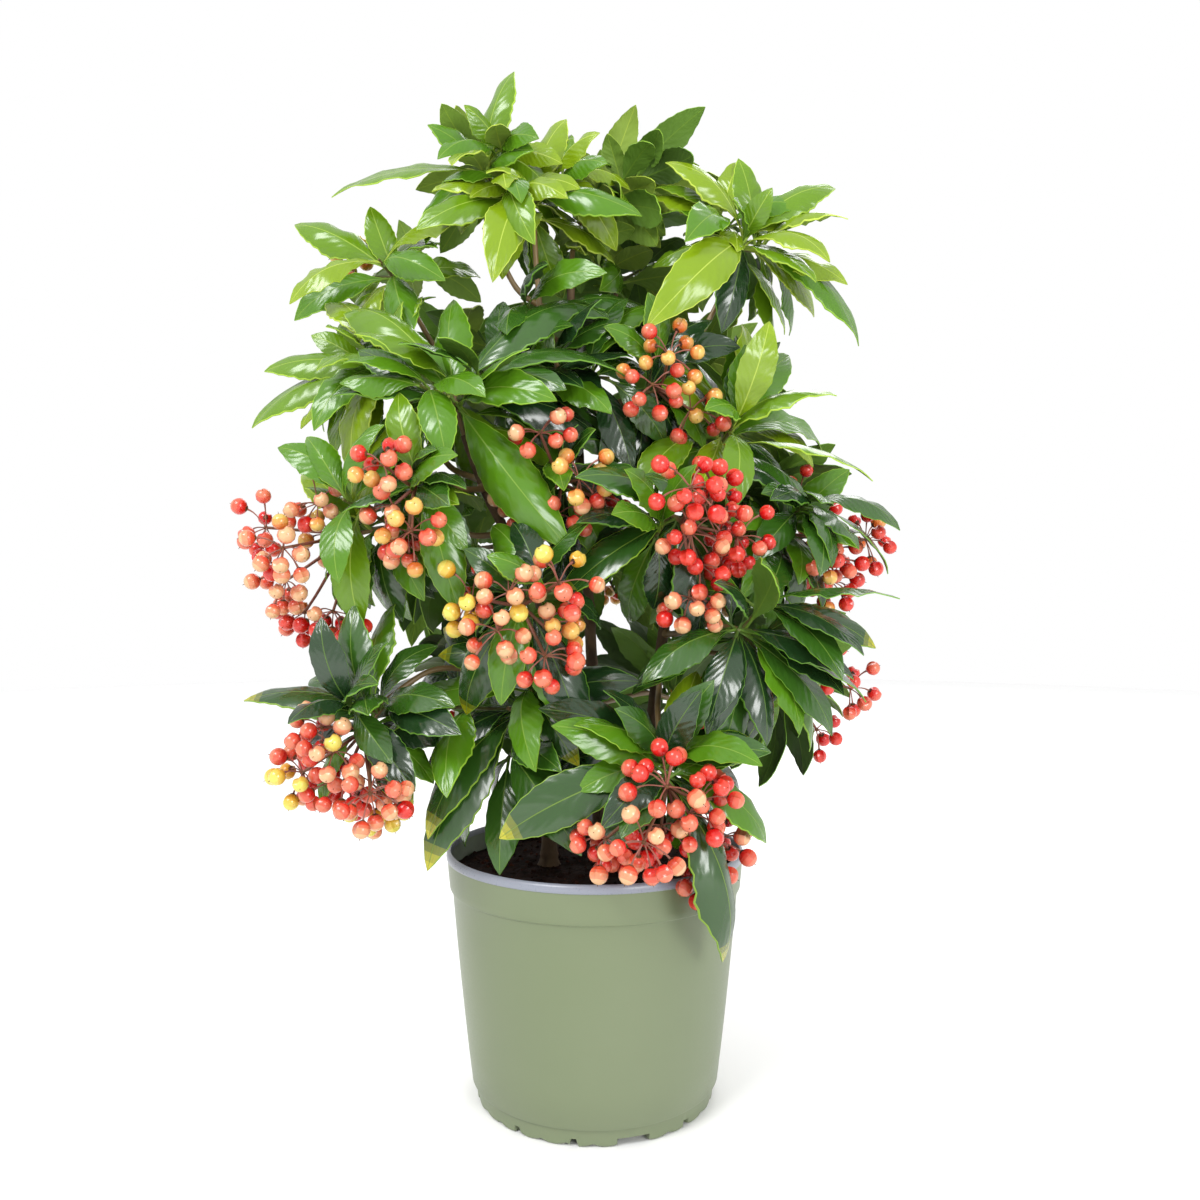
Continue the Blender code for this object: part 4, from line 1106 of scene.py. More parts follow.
@dataclass(frozen=True)
class Finish:
    """A Principled finish with a colour, a roughness and a fine relief.

    Attributes:
        name: name of the material.
        colour: linear base colour.
        roughness: mean roughness.
        second: a colour that noise blends in, or None for a plain colour.
        patches: how fine that noise is, in features a metre.
        grain: how fine the relief is, in features a metre.
        relief: depth of the relief in metres.
        spread: how far noise takes the roughness up and down.
        gloss: specular level.
        coat: weight of a clear coat.
        stretch: factor on the noise along the height.
        veins: how many veins the piece's UV map carries along a leaf.
    """

    name: str
    colour: Colour
    roughness: float
    second: Colour | None = None
    patches: float = 60.0
    grain: float = 0.0
    relief: float = 0.0
    spread: float = 0.0
    gloss: float = 0.5
    coat: float = 0.0
    stretch: float = 1.0
    veins: float = 0.0

    def build(self) -> Material:
        """Make the material, with its nodes linked only where something varies.

        Returns:
            The material.
        """
        material = bpy.data.materials.new(self.name)
        material.use_nodes = True
        tree = material.node_tree
        shader = tree.nodes["Principled BSDF"]
        feed(shader, {"Base Color": (*self.colour, 1.0), "Roughness": self.roughness,
                      "Specular IOR Level": self.gloss, "Coat Weight": self.coat,
                      "Coat Roughness": COAT_ROUGHNESS})
        places = new_node(tree, "TexCoord", {})
        mapping = new_node(tree, "Mapping", {"Vector": places.outputs["Object"],
                                             "Scale": (1.0, 1.0, self.stretch)})
        if self.second:
            feed(shader, {"Base Color": self.patchy(mapping)})
        if self.grain:
            self.roughen(shader, self.noise(mapping, self.grain))
        if self.veins:
            waves = new_node(tree, "TexWave", {
                "Vector": places.outputs["UV"], "Scale": self.veins * WAVE_PERIOD,
                "Distortion": VEIN_DISTORTION, "Detail": VEIN_DETAIL})
            self.bump(shader, waves.outputs["Fac"], VEIN_STRENGTH, VEIN_DEPTH * MM)
        return material

    def noise(self, mapping: Node, scale: float) -> NodeSocket:
        """Return a noise on the piece's own coordinates.

        Args:
            mapping: the node that gives these.
            scale: how fine it is.

        Returns:
            The noise.
        """
        field = new_node(mapping.id_data, "TexNoise", {
            "Vector": mapping.outputs["Vector"], "Scale": scale, "Detail": NOISE_DETAIL})
        return field.outputs["Fac"]

    def patchy(self, mapping: Node) -> NodeSocket:
        """Blend the two colours by a soft noise.

        Args:
            mapping: the node that gives the coordinates.

        Returns:
            The colour.
        """
        ramp = new_node(mapping.id_data, "ValToRGB", {"Fac": self.noise(mapping, self.patches)})
        ends = zip(ramp.color_ramp.elements, PATCH_SHARES, (self.colour, self.second))
        for element, share, colour in ends:
            element.position = share
            element.color = (*colour, 1.0)
        return ramp.outputs["Color"]

    def roughen(self, shader: Node, grain: NodeSocket) -> None:
        """Vary the roughness and raise a fine relief.

        Args:
            shader: the material's shader.
            grain: the noise that does both.
        """
        if self.spread:
            low, high = GRAIN_SHARES
            dull = new_node(shader.id_data, "MapRange", {
                "Value": grain, "From Min": low, "From Max": high,
                "To Min": self.roughness - self.spread, "To Max": self.roughness + self.spread})
            feed(shader, {"Roughness": dull.outputs["Result"]})
        if self.relief:
            self.bump(shader, grain, RELIEF_STRENGTH, self.relief)

    def bump(self, shader: Node, height: NodeSocket, strength: float, depth: float) -> None:
        """Raise the surface by a texture.

        Args:
            shader: the material's shader.
            height: the texture.
            strength: its strength.
            depth: its depth in metres.
        """
        relief = new_node(shader.id_data, "Bump", {
            "Height": height, "Strength": strength, "Distance": depth})
        feed(shader, {"Normal": relief.outputs["Normal"]})


PALE_FLOOR = Finish("pale_floor", (0.9, 0.9, 0.9), 0.7, grain=40.0, spread=0.03)
POT_GREEN = Finish("pot_green", srgb(106, 117, 87), 0.36, srgb(110, 120, 92), 9.0,
                   1400.0, 0.012 * MM, 0.04, 0.45)
# The lip's lilac-grey base colour is a painted reflection of the pale surroundings on the rounded lip.
POT_LIP_PAINTED_REFLECTION = Finish("pot_lip", srgb(128, 132, 144), 0.3, srgb(122, 128, 134), 9.0,
                 1400.0, 0.01 * MM, 0.04, 0.5)
POT_INSIDE = Finish("pot_inside", srgb(122, 132, 112), 0.5, srgb(112, 120, 108), 60.0,
                    700.0, 0.03 * MM, 0.06, 0.35)
DARK_SOIL = Finish("dark_soil", srgb(30, 19, 15), 0.95, srgb(48, 27, 19), 320.0,
                   900.0, 0.5 * MM, 0.04, 0.15)
RED_CRUMB = Finish("red_crumb", srgb(74, 38, 25), 0.9, srgb(44, 26, 19), 500.0,
                   1500.0, 0.3 * MM, 0.05, 0.15)
STEM_BARK = Finish("stem_bark", shown(122, 98, 70), 0.72, shown(84, 64, 46), 260.0,
                   1400.0, 0.25 * MM, 0.1, 0.3, stretch=0.35)
TWIG_BARK = Finish("twig_bark", shown(98, 98, 50), 0.6, shown(86, 66, 40), 240.0,
                   1600.0, 0.1 * MM, 0.08, 0.35, stretch=0.5)
YOUNG_TWIG = Finish("young_twig", shown(106, 116, 52), 0.5, shown(110, 84, 50), 200.0,
                    1600.0, 0.08 * MM, 0.08, 0.4)
PEDUNCLE_SKIN = Finish("peduncle_skin", shown(136, 92, 62), 0.5, shown(146, 80, 66), 180.0,
                       1800.0, 0.05 * MM, 0.06, 0.4)
PEDICEL_SKIN = Finish("pedicel_skin", shown(176, 104, 88), 0.45, shown(150, 92, 70), 160.0,
                      1800.0, 0.02 * MM, 0.05, 0.4)
CALYX_SKIN = Finish("calyx_skin", shown(126, 82, 46), 0.55, shown(104, 74, 40), 300.0,
                    1800.0, 0.02 * MM, 0.05, 0.3)
STYLE_SKIN = Finish("style_skin", shown(78, 48, 34), 0.6, shown(60, 38, 28), 300.0,
                    1800.0, 0.02 * MM, 0.05, 0.3)


@dataclass(frozen=True)
class LeafDye:
    """The colours of a leaf of one tone, as they show."""

    base: Colour
    tip: Colour
    under: Colour
    margin: Colour
    rib: Colour

    def of(self, side: LeafSide) -> Colour:
        """Return the colour of one part of the leaf.

        Args:
            side: the part.

        Returns:
            The colour.
        """
        return {LeafSide.UPPER: self.base,
                LeafSide.SHOULDER: blended(self.base, self.tip, SHOULDER_SHARE),
                LeafSide.NEAR_TIP: blended(self.base, self.tip, NEAR_TIP_SHARE),
                LeafSide.TIP: self.tip, LeafSide.UNDER: self.under, LeafSide.MARGIN: self.margin,
                LeafSide.RIB: self.rib}[side]


def leaf_dye(*tints: tuple[int, int, int]) -> LeafDye:
    """Return a leaf's colours from their display values."""
    return LeafDye(*(shown(*tint) for tint in tints))


# The DEEP and DARK tones, their undersides too, are darker partly by age and partly by painted shade,
# for leaves low in and inside the plant.
LEAF_DYES: dict[Tone, LeafDye] = {
    Tone.FRESH: leaf_dye((138, 171, 24), (156, 186, 32), (160, 190, 76), (206, 230, 84),
                         (190, 214, 84)),
    Tone.SPRING: leaf_dye((110, 153, 22), (124, 166, 28), (136, 172, 66), (182, 218, 70),
                          (162, 194, 72)),
    Tone.MIDDLE: leaf_dye((90, 142, 24), (100, 150, 26), (112, 154, 54), (152, 200, 56),
                          (130, 168, 58)),
    Tone.DEEP: leaf_dye((56, 100, 26), (64, 108, 28), (82, 116, 40), (122, 176, 48),
                        (108, 144, 50)),
    Tone.DARK: leaf_dye((32, 64, 28), (38, 72, 30), (66, 94, 38), (104, 156, 44), (90, 122, 48)),
    Tone.TIPPED: leaf_dye((46, 86, 26), (212, 206, 34), (86, 118, 40), (140, 180, 46),
                          (112, 144, 48)),
}
# How far the parts near a leaf's tip have taken on the tip's colour.
SHOULDER_SHARE = 0.25
NEAR_TIP_SHARE = 0.65
UPPER_SIDES = (LeafSide.UPPER, LeafSide.SHOULDER, LeafSide.NEAR_TIP, LeafSide.TIP)
# The roughness, the gloss and the number of side veins of each part of a leaf.
LEAF_SKINS = {**dict.fromkeys(UPPER_SIDES, (0.23, 0.5, 11.0)), LeafSide.UNDER: (0.55, 0.3, 11.0),
              LeafSide.MARGIN: (0.4, 0.3, 0.0), LeafSide.RIB: (0.4, 0.3, 0.0)}
# Older leaves have a thicker, glossier skin.
OLD_TONES = (Tone.DEEP, Tone.DARK, Tone.TIPPED)
OLD_GLOSS = 1.5

# How far a berry's bands, from the stalk to the far end, have taken on its far colour.
BERRY_BANDS = (0.0, 0.2, 0.55, 1.0)
# The colours of a berry, as they show: near its stalk, and paler at its far end.
BERRY_DYES: dict[Ripeness, tuple[Colour, Colour]] = {
    Ripeness.RED: (shown(236, 18, 20), shown(250, 76, 58)),
    Ripeness.CORAL: (shown(246, 44, 36), shown(254, 134, 100)),
    Ripeness.SALMON: (shown(250, 86, 58), shown(255, 198, 146)),
    Ripeness.ORANGE: (shown(244, 124, 52), shown(255, 208, 108)),
    Ripeness.YELLOW: (shown(250, 180, 50), shown(255, 238, 108)),
    Ripeness.LIME: (shown(224, 190, 36), shown(240, 226, 88)),
}
BERRY_ROUGHNESS = 0.24
BERRY_GRAIN = 420.0
BERRY_SPREAD = 0.05
BERRY_COAT = 0.22


class Pattern:
    """Vertices and faces of a shape that is placed many times, as arrays."""

    def __init__(self, mesh: BMesh) -> None:
        """Take over a mesh.

        Args:
            mesh: the mesh, which is freed.
        """
        mesh.verts.index_update()
        self.spots = np.array([vert.co[:] for vert in mesh.verts])
        self.loops = np.array([vert.index for face in mesh.faces for vert in face.verts])
        self.totals = np.array([len(face.verts) for face in mesh.faces])
        self.middles = np.array([face.calc_center_median()[:] for face in mesh.faces])
        mesh.free()

    @classmethod
    def tube(cls, sides: int, rows: int) -> "Pattern":
        """Return a round rod of radius 1, its z from 0 to 1.

        Args:
            sides: how many sides it has.
            rows: into how many rows it is cut.

        Returns:
            The pattern.
        """
        mesh = bmesh.new()
        add_cone(mesh, sides, 1.0, 1.0, fans=True)
        cut_level(mesh, [row / rows for row in range(1, rows)])
        return cls(mesh)


class Cluster:
    """Many placed copies of patterns, joined into one mesh."""

    def __init__(self) -> None:
        """Start with no copies."""
        self.spots: list[np.ndarray] = []
        self.loops: list[np.ndarray] = []
        self.totals: list[np.ndarray] = []
        self.slots: list[np.ndarray] = []
        self.maps: list[np.ndarray] = []
        self.count = 0

    def add(self, spots: np.ndarray, pattern: Pattern, slots: np.ndarray | int = 0,
            places: np.ndarray | None = None) -> None:
        """Add one copy.

        Args:
            spots: where the pattern's vertices stand.
            pattern: the shape.
            slots: the material slot of each of its faces, or the one of them all.
            places: the map position of each of its vertices.
        """
        self.spots.append(spots)
        self.loops.append(pattern.loops + self.count)
        self.totals.append(pattern.totals)
        self.slots.append(np.full(len(pattern.totals), slots))
        if places is not None:
            self.maps.append(places[pattern.loops])
        self.count += len(spots)

    def build(self, name: str, finishes: Sequence[Finish], crease: float = CREASE) -> Object:
        """Join the copies.

        Args:
            name: name of the piece.
            finishes: its finishes, in the order of the slots.
            crease: the angle in degrees past which an edge stays sharp.

        Returns:
            The joined object.
        """
        spots, loops = np.concatenate(self.spots), np.concatenate(self.loops)
        totals = np.concatenate(self.totals)
        starts = np.concatenate(([0], np.cumsum(totals)[:-1]))
        mesh = bpy.data.meshes.new(name)
        mesh.vertices.add(len(spots))
        mesh.vertices.foreach_set("co", spots.astype(np.float32).ravel())
        mesh.loops.add(len(loops))
        mesh.loops.foreach_set("vertex_index", loops.astype(np.int32))
        mesh.polygons.add(len(totals))
        mesh.polygons.foreach_set("loop_start", starts.astype(np.int32))
        mesh.polygons.foreach_set("material_index", np.concatenate(self.slots).astype(np.int32))
        if self.maps:
            layer = mesh.uv_layers.new(name="UVMap")
            layer.uv.foreach_set("vector", np.concatenate(self.maps).astype(np.float32).ravel())
        mesh.update(calc_edges=True)
        return finished(name, mesh, finishes, crease)


def turned(outline: Iterable[Pair], steps: int) -> BMesh:
    """Return a body turned about the Z axis.

    Args:
        outline: radius and height of its section in millimetres.
        steps: into how many steps it is turned.

    Returns:
        The body, closed where its section ends on the axis.
    """
    mesh = bmesh.new()
    corners = [mesh.verts.new((radius * MM, 0.0, height * MM)) for radius, height in outline]
    edges = [mesh.edges.new(pair) for pair in zip(corners, corners[1:])]
    bmesh.ops.spin(mesh, geom=[*corners, *edges], cent=(0.0, 0.0, 0.0), axis=UP,
                   angle=math.tau, steps=steps, use_merge=True)
    bmesh.ops.remove_doubles(mesh, verts=mesh.verts, dist=TURNED_WELD)
    bmesh.ops.recalc_face_normals(mesh, faces=mesh.faces)
    return mesh


def stored(name: str, mesh: BMesh) -> Mesh:
    """Store a mesh.

    Args:
        name: its name.
        mesh: the mesh, which is freed.

    Returns:
        The mesh as Blender stores it.
    """
    data = bpy.data.meshes.new(name)
    mesh.to_mesh(data)
    mesh.free()
    return data


def finished(name: str, mesh: Mesh, finishes: Sequence[Finish], crease: float = CREASE) -> Object:
    """Return an object of a mesh, with its finishes and smooth shading.

    Args:
        name: name of the piece.
        mesh: its mesh.
        finishes: its finishes, in the order of the slots.
        crease: the angle in degrees past which an edge stays sharp.

    Returns:
        The object, in the scene.
    """
    for finish in finishes:
        material = bpy.data.materials.get(finish.name) or finish.build()
        mesh.materials.append(material)
    mesh.shade_smooth()
    mesh.set_sharp_from_angle(angle=math.radians(crease))
    thing = bpy.data.objects.new(name, mesh)
    bpy.context.scene.collection.objects.link(thing)
    return thing


def tie(thing: Object, nodes: Sequence[str] = ()) -> None:
    """Tie a piece to the frame.

    Args:
        thing: the piece.
        nodes: the CAD nodes that it stands for.
    """
    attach(thing, "root")
    if nodes:
        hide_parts(*nodes)
    triangles = sum(len(face.vertices) - 2 for face in thing.data.polygons)
    LOG.info("%s: %d triangles, stands for %d nodes", thing.name, triangles, len(nodes))


# How many points a tube's line gets between two of its places.
TUBE_SAMPLES = 6
# How nearly a tube may start along the Y axis before its first side is taken from the X axis.
MOST_ALONG_Y = 0.9


@dataclass(frozen=True)
class Tube:
    """A round limb: points along its line and the radius at each."""

    line: np.ndarray
    radii: np.ndarray

    @classmethod
    def along(cls, places: Sequence[Vector], radii: Sequence[float], rows: int) -> "Tube":
        """Lay a tube through some places.

        Args:
            places: the places that it passes.
            radii: its radius at each place.
            rows: into how many equal rows it is cut.

        Returns:
            The tube.
        """
        smooth = np.array([place[:] for place in smooth_path(places, TUBE_SAMPLES)])
        steps = np.linspace(0.0, len(places) - 1, len(smooth))
        widths = np.interp(steps, np.arange(len(places)), radii)
        runs = np.linalg.norm(np.diff(smooth, axis=0), axis=1)
        reach = np.concatenate(([0.0], np.cumsum(runs)))
        marks = np.linspace(0.0, reach[-1], rows + 1)
        line = np.stack([np.interp(marks, reach, smooth[:, axis]) for axis in range(3)], axis=1)
        return cls(line, np.interp(marks, reach, widths))

    def spots(self, pattern: Pattern, swell: np.ndarray | None = None) -> np.ndarray:
        """Wrap a tube pattern round the line.

        Args:
            pattern: the pattern, with as many rows as the line.
            swell: a factor on the radius at each of its vertices.

        Returns:
            Where the pattern's vertices stand.
        """
        runs = np.gradient(self.line, axis=0)
        runs /= np.linalg.norm(runs, axis=1, keepdims=True)
        side = np.cross(runs[0], (0.0, 1.0, 0.0) if abs(runs[0][1]) < MOST_ALONG_Y else (1.0, 0.0, 0.0))
        sides = []
        for run in runs:
            side = side - run * side.dot(run)
            side = side / np.linalg.norm(side)
            sides.append(side)
        across = np.array(sides)
        around = np.cross(runs, across)
        row = np.rint(pattern.spots[:, 2] * (len(self.line) - 1)).astype(int)
        radius = self.radii[row] if swell is None else self.radii[row] * swell
        reach = pattern.spots * radius[:, None]
        return self.line[row] + across[row] * reach[:, :1] + around[row] * reach[:, 1:2]


@dataclass
class Pot:
    """The round plastic nursery pot with its collar, lip and scalloped foot ring.

    Attributes:
        outline: radius and height of its section in millimetres, from the underside outwards,
            up over the lip and down inside to the middle of the floor.
        lip_foot: height at which the rounded lip begins, whose faces take the painted reflection colour.
        floor_top: height over which faces that look inwards show the inside.
        foot_inside, foot_edge: outside what radius and under what height the foot ring's edge is.
        steps: into how many steps it is turned.
        crease: angle in degrees past which an edge stays sharp.
        lobes, lobe_depth, lobe_round: how many scallops the foot ring has, how deep and how round.
        notches, notch_half, notch_height: azimuths of the drain notches, and the half angle and
            the height of one.
        gaps, gap_half, gap_height: the same of the small drain gaps between scallops.
    """

    outline: tuple[Pair, ...] = (
        (0.0, 0.0), (9.0, 0.0), (10.0, 0.5), (11.5, 3.0), (28.0, 3.0), (44.5, 3.0), (46.0, 0.6),
        (46.6, 0.0), (50.6, 0.0), (51.4, 0.7), (51.7, 3.4), (52.0, 6.6), (52.2, 7.4),
        (53.3, 7.7), (53.7, 8.3), (55.4, 22.0), (57.2, 38.0), (58.7, 52.0), (60.0, 65.0),
        (61.2, 78.0), (62.2, 89.2), (62.5, 90.1), (63.2, 90.5), (63.5, 91.2), (63.7, 93.5),
        (64.15, 98.0), (64.45, 102.4), (64.5, 102.9), (64.8, 103.05), (64.97, 103.4),
        (65.0, 104.3), (64.9, 105.2), (64.6, 105.9), (64.1, 106.35), (63.6, 106.5),
        (63.2, 106.3), (62.95, 105.6), (62.85, 104.0), (62.7, 101.0),
        (62.2, 92.0), (61.6, 88.0), (60.0, 76.0), (58.7, 65.0), (56.0, 40.0), (52.4, 9.6),
        (50.2, 5.4), (0.0, 5.4),
    )
    lip_foot: float = 102.9
    floor_top: float = 5.0
    foot_inside: float = 45.0
    foot_edge: float = 0.8
    steps: int = 360
    crease: float = 32.0
    lobes: int = 30
    lobe_depth: float = 1.3
    lobe_round: float = 0.6
    notches: tuple[float, ...] = (-72.6, 47.4, 167.4)
    notch_half: float = 6.6
    notch_height: float = 5.2
    gaps: tuple[float, ...] = (232.9, 261.1, 316.3, 352.9, 21.1, 76.3, 112.9, 141.1, 196.3)
    gap_half: float = 1.6
    gap_height: float = 3.4

    def build(self) -> None:
        """Turn the pot, shape its foot ring and tie it to the frame."""
        mesh = turned(self.outline, self.steps)
        self.shape_foot(mesh)
        inside, lip = 1, 2
        for face in mesh.faces:
            middle = face.calc_center_median()
            outward = Vector((middle.x, middle.y, 0.0))
            # The lip's faces take the lilac-grey finish, a painted reflection on the rounded lip.
            if middle.z > self.lip_foot * MM:
                face.material_index = lip
            elif middle.z > self.floor_top * MM and face.normal.dot(outward) < 0:
                face.material_index = inside
        finishes = (POT_GREEN, POT_INSIDE, POT_LIP_PAINTED_REFLECTION)
        shell = finished("pot_shell", stored("pot_shell", mesh), finishes, self.crease)
        tie(shell, ("pot",))

    def shape_foot(self, mesh: BMesh) -> None:
        """Raise the foot ring's lower edge between its scallops and at its notches.

        Args:
            mesh: the pot's mesh.
        """
        for vert in mesh.verts:
            reach = math.hypot(vert.co.x, vert.co.y)
            if reach > self.foot_inside * MM and vert.co.z < self.foot_edge * MM:
                azimuth = math.degrees(math.atan2(vert.co.y, vert.co.x))
                vert.co.z += self.rise(azimuth) * MM

    def rise(self, azimuth: float) -> float:
        """Return how far the foot ring's lower edge is raised.

        Args:
            azimuth: the azimuth in degrees.

        Returns:
            The height in millimetres.
        """
        def near(angles: tuple[float, ...], half: float) -> bool:
            """Tell whether the azimuth is within half of one of the angles."""
            return any(abs((azimuth - angle + 180) % 360 - 180) < half for angle in angles)
        if near(self.notches, self.notch_half):
            return self.notch_height
        if near(self.gaps, self.gap_half):
            return self.gap_height
        lobe = abs(math.cos(math.radians(azimuth - self.notches[0]) * self.lobes / 2))
        return self.lobe_depth * (1 - lobe ** self.lobe_round)


@dataclass
class Soil:
    """The dark soil that fills the pot, rough on top, with crumbs strewn over it.

    Attributes:
        top: height of its top in millimetres.
        crest: how much lower it is at the wall.
        dip: the power of the radius by which it falls there.
        radius: its radius at the top.
        side: radius and height of its side and underside, down the pot's inner wall.
        rings: how many rings its top has.
        steps: into how many steps it is turned.
        lumps: height of its coarse relief, and how many it has in a metre.
        grit: height of its fine relief, and how many in a metre.
        layer: where in the noise the fine relief is taken, away from the coarse one.
        crease: angle in degrees past which an edge stays sharp.
        crumbs, crumb_size: how many crumbs lie on it, and the smallest and largest radius of one.
        crumb_power: how much more often they are small.
        crumb_margin: how far from the wall they stay.
        crumb_stray: by how many degrees they stray from their place.
        crumb_relief: height of a crumb's own relief and how fine it is, as shares of its radius.
        crumb_flat: how flat it is along its two shorter axes, from and to.
        crumb_tilt: elevation in degrees of the axis that it is turned about.
        red_share: share of the crumbs that are reddish.
    """

    top: float = 98.5
    crest: float = 2.0
    dip: int = 3
    radius: float = 62.2
    side: tuple[Pair, ...] = ((61.6, 90.7), (58.3, 65.0), (52.0, 9.6), (49.8, 5.7), (0.0, 5.7))
    rings: int = 46
    steps: int = 170
    lumps: Pair = (1.3, 90.0)
    grit: Pair = (0.9, 420.0)
    layer: float = 0.1
    crease: float = 60.0
    crumbs: int = 620
    crumb_size: Pair = (0.5, 1.7)
    crumb_power: int = 3
    crumb_margin: float = 1.5
    crumb_stray: float = 20.0
    crumb_relief: Pair = (0.35, 1.7)
    crumb_flat: tuple[Pair, Pair] = ((0.6, 1.0), (0.45, 0.9))
    crumb_tilt: float = 30.0
    red_share: float = 0.3

    def build(self) -> None:
        """Make the soil and its crumbs."""
        reach = [self.radius * ring / self.rings for ring in range(self.rings + 1)]
        section = [(radius, self.height(radius)) for radius in reach]
        mesh = turned((*section, *self.side), self.steps)
        under_top = (section[-1][1] + self.side[0][1]) / 2
        for vert in mesh.verts:
            if vert.co.z > under_top * MM:
                vert.co.z += self.relief(vert.co)
        bed = finished("soil_bed", stored("soil_bed", mesh), (DARK_SOIL,), self.crease)
        tie(bed, ("soil",))
        tie(self.strewn())

    def height(self, radius: float) -> float:
        """Return the height of the soil's top at a radius, without its relief."""
        return self.top - self.crest * (radius / self.radius) ** self.dip

    def relief(self, place: Vector) -> float:
        """Return how far the soil's top is raised.

        Args:
            place: the place.

        Returns:
            The height in metres.
        """
        (lump, coarse), (grain, fine) = self.lumps, self.grit
        height = noise.noise(Vector((place.x, place.y, 0.0)) * coarse) * lump
        height += noise.noise(Vector((place.x, place.y, self.layer)) * fine) * grain
        return height * MM

    def strewn(self) -> Object:
        """Strew the crumbs by the golden angle.

        Returns:
            The crumbs, joined.
        """
        chance = random.Random("crumbs")
        mesh = unit_ball(2)
        rough, fine = self.crumb_relief
        for vert in mesh.verts:
            vert.co *= 1 + rough * noise.noise(vert.co * fine)
        pattern = Pattern(mesh)
        cluster = Cluster()
        for number in range(self.crumbs):
            reach = (self.radius - self.crumb_margin) * math.sqrt((number + 0.5) / self.crumbs) * MM
            stray = chance.uniform(-self.crumb_stray, self.crumb_stray)
            place = bearing(number * GOLDEN_ANGLE + stray, 0.0) * reach
            place.z = self.height(reach / MM) * MM + self.relief(place)
            size = between(self.crumb_size, chance.random() ** self.crumb_power) * MM
            turn = chance.uniform(0, math.tau)
            axis = bearing(chance.uniform(0, 360), self.crumb_tilt)
            flat = Matrix.Diagonal((1.0, *(chance.uniform(*ends) for ends in self.crumb_flat)))
            shape = np.array(Matrix.Rotation(turn, 3, axis) @ flat)
            slot = int(chance.random() < self.red_share)
            cluster.add(pattern.spots @ shape.T * size + np.array(place), pattern, slot)
        return cluster.build("soil_crumbs", (DARK_SOIL, RED_CRUMB))


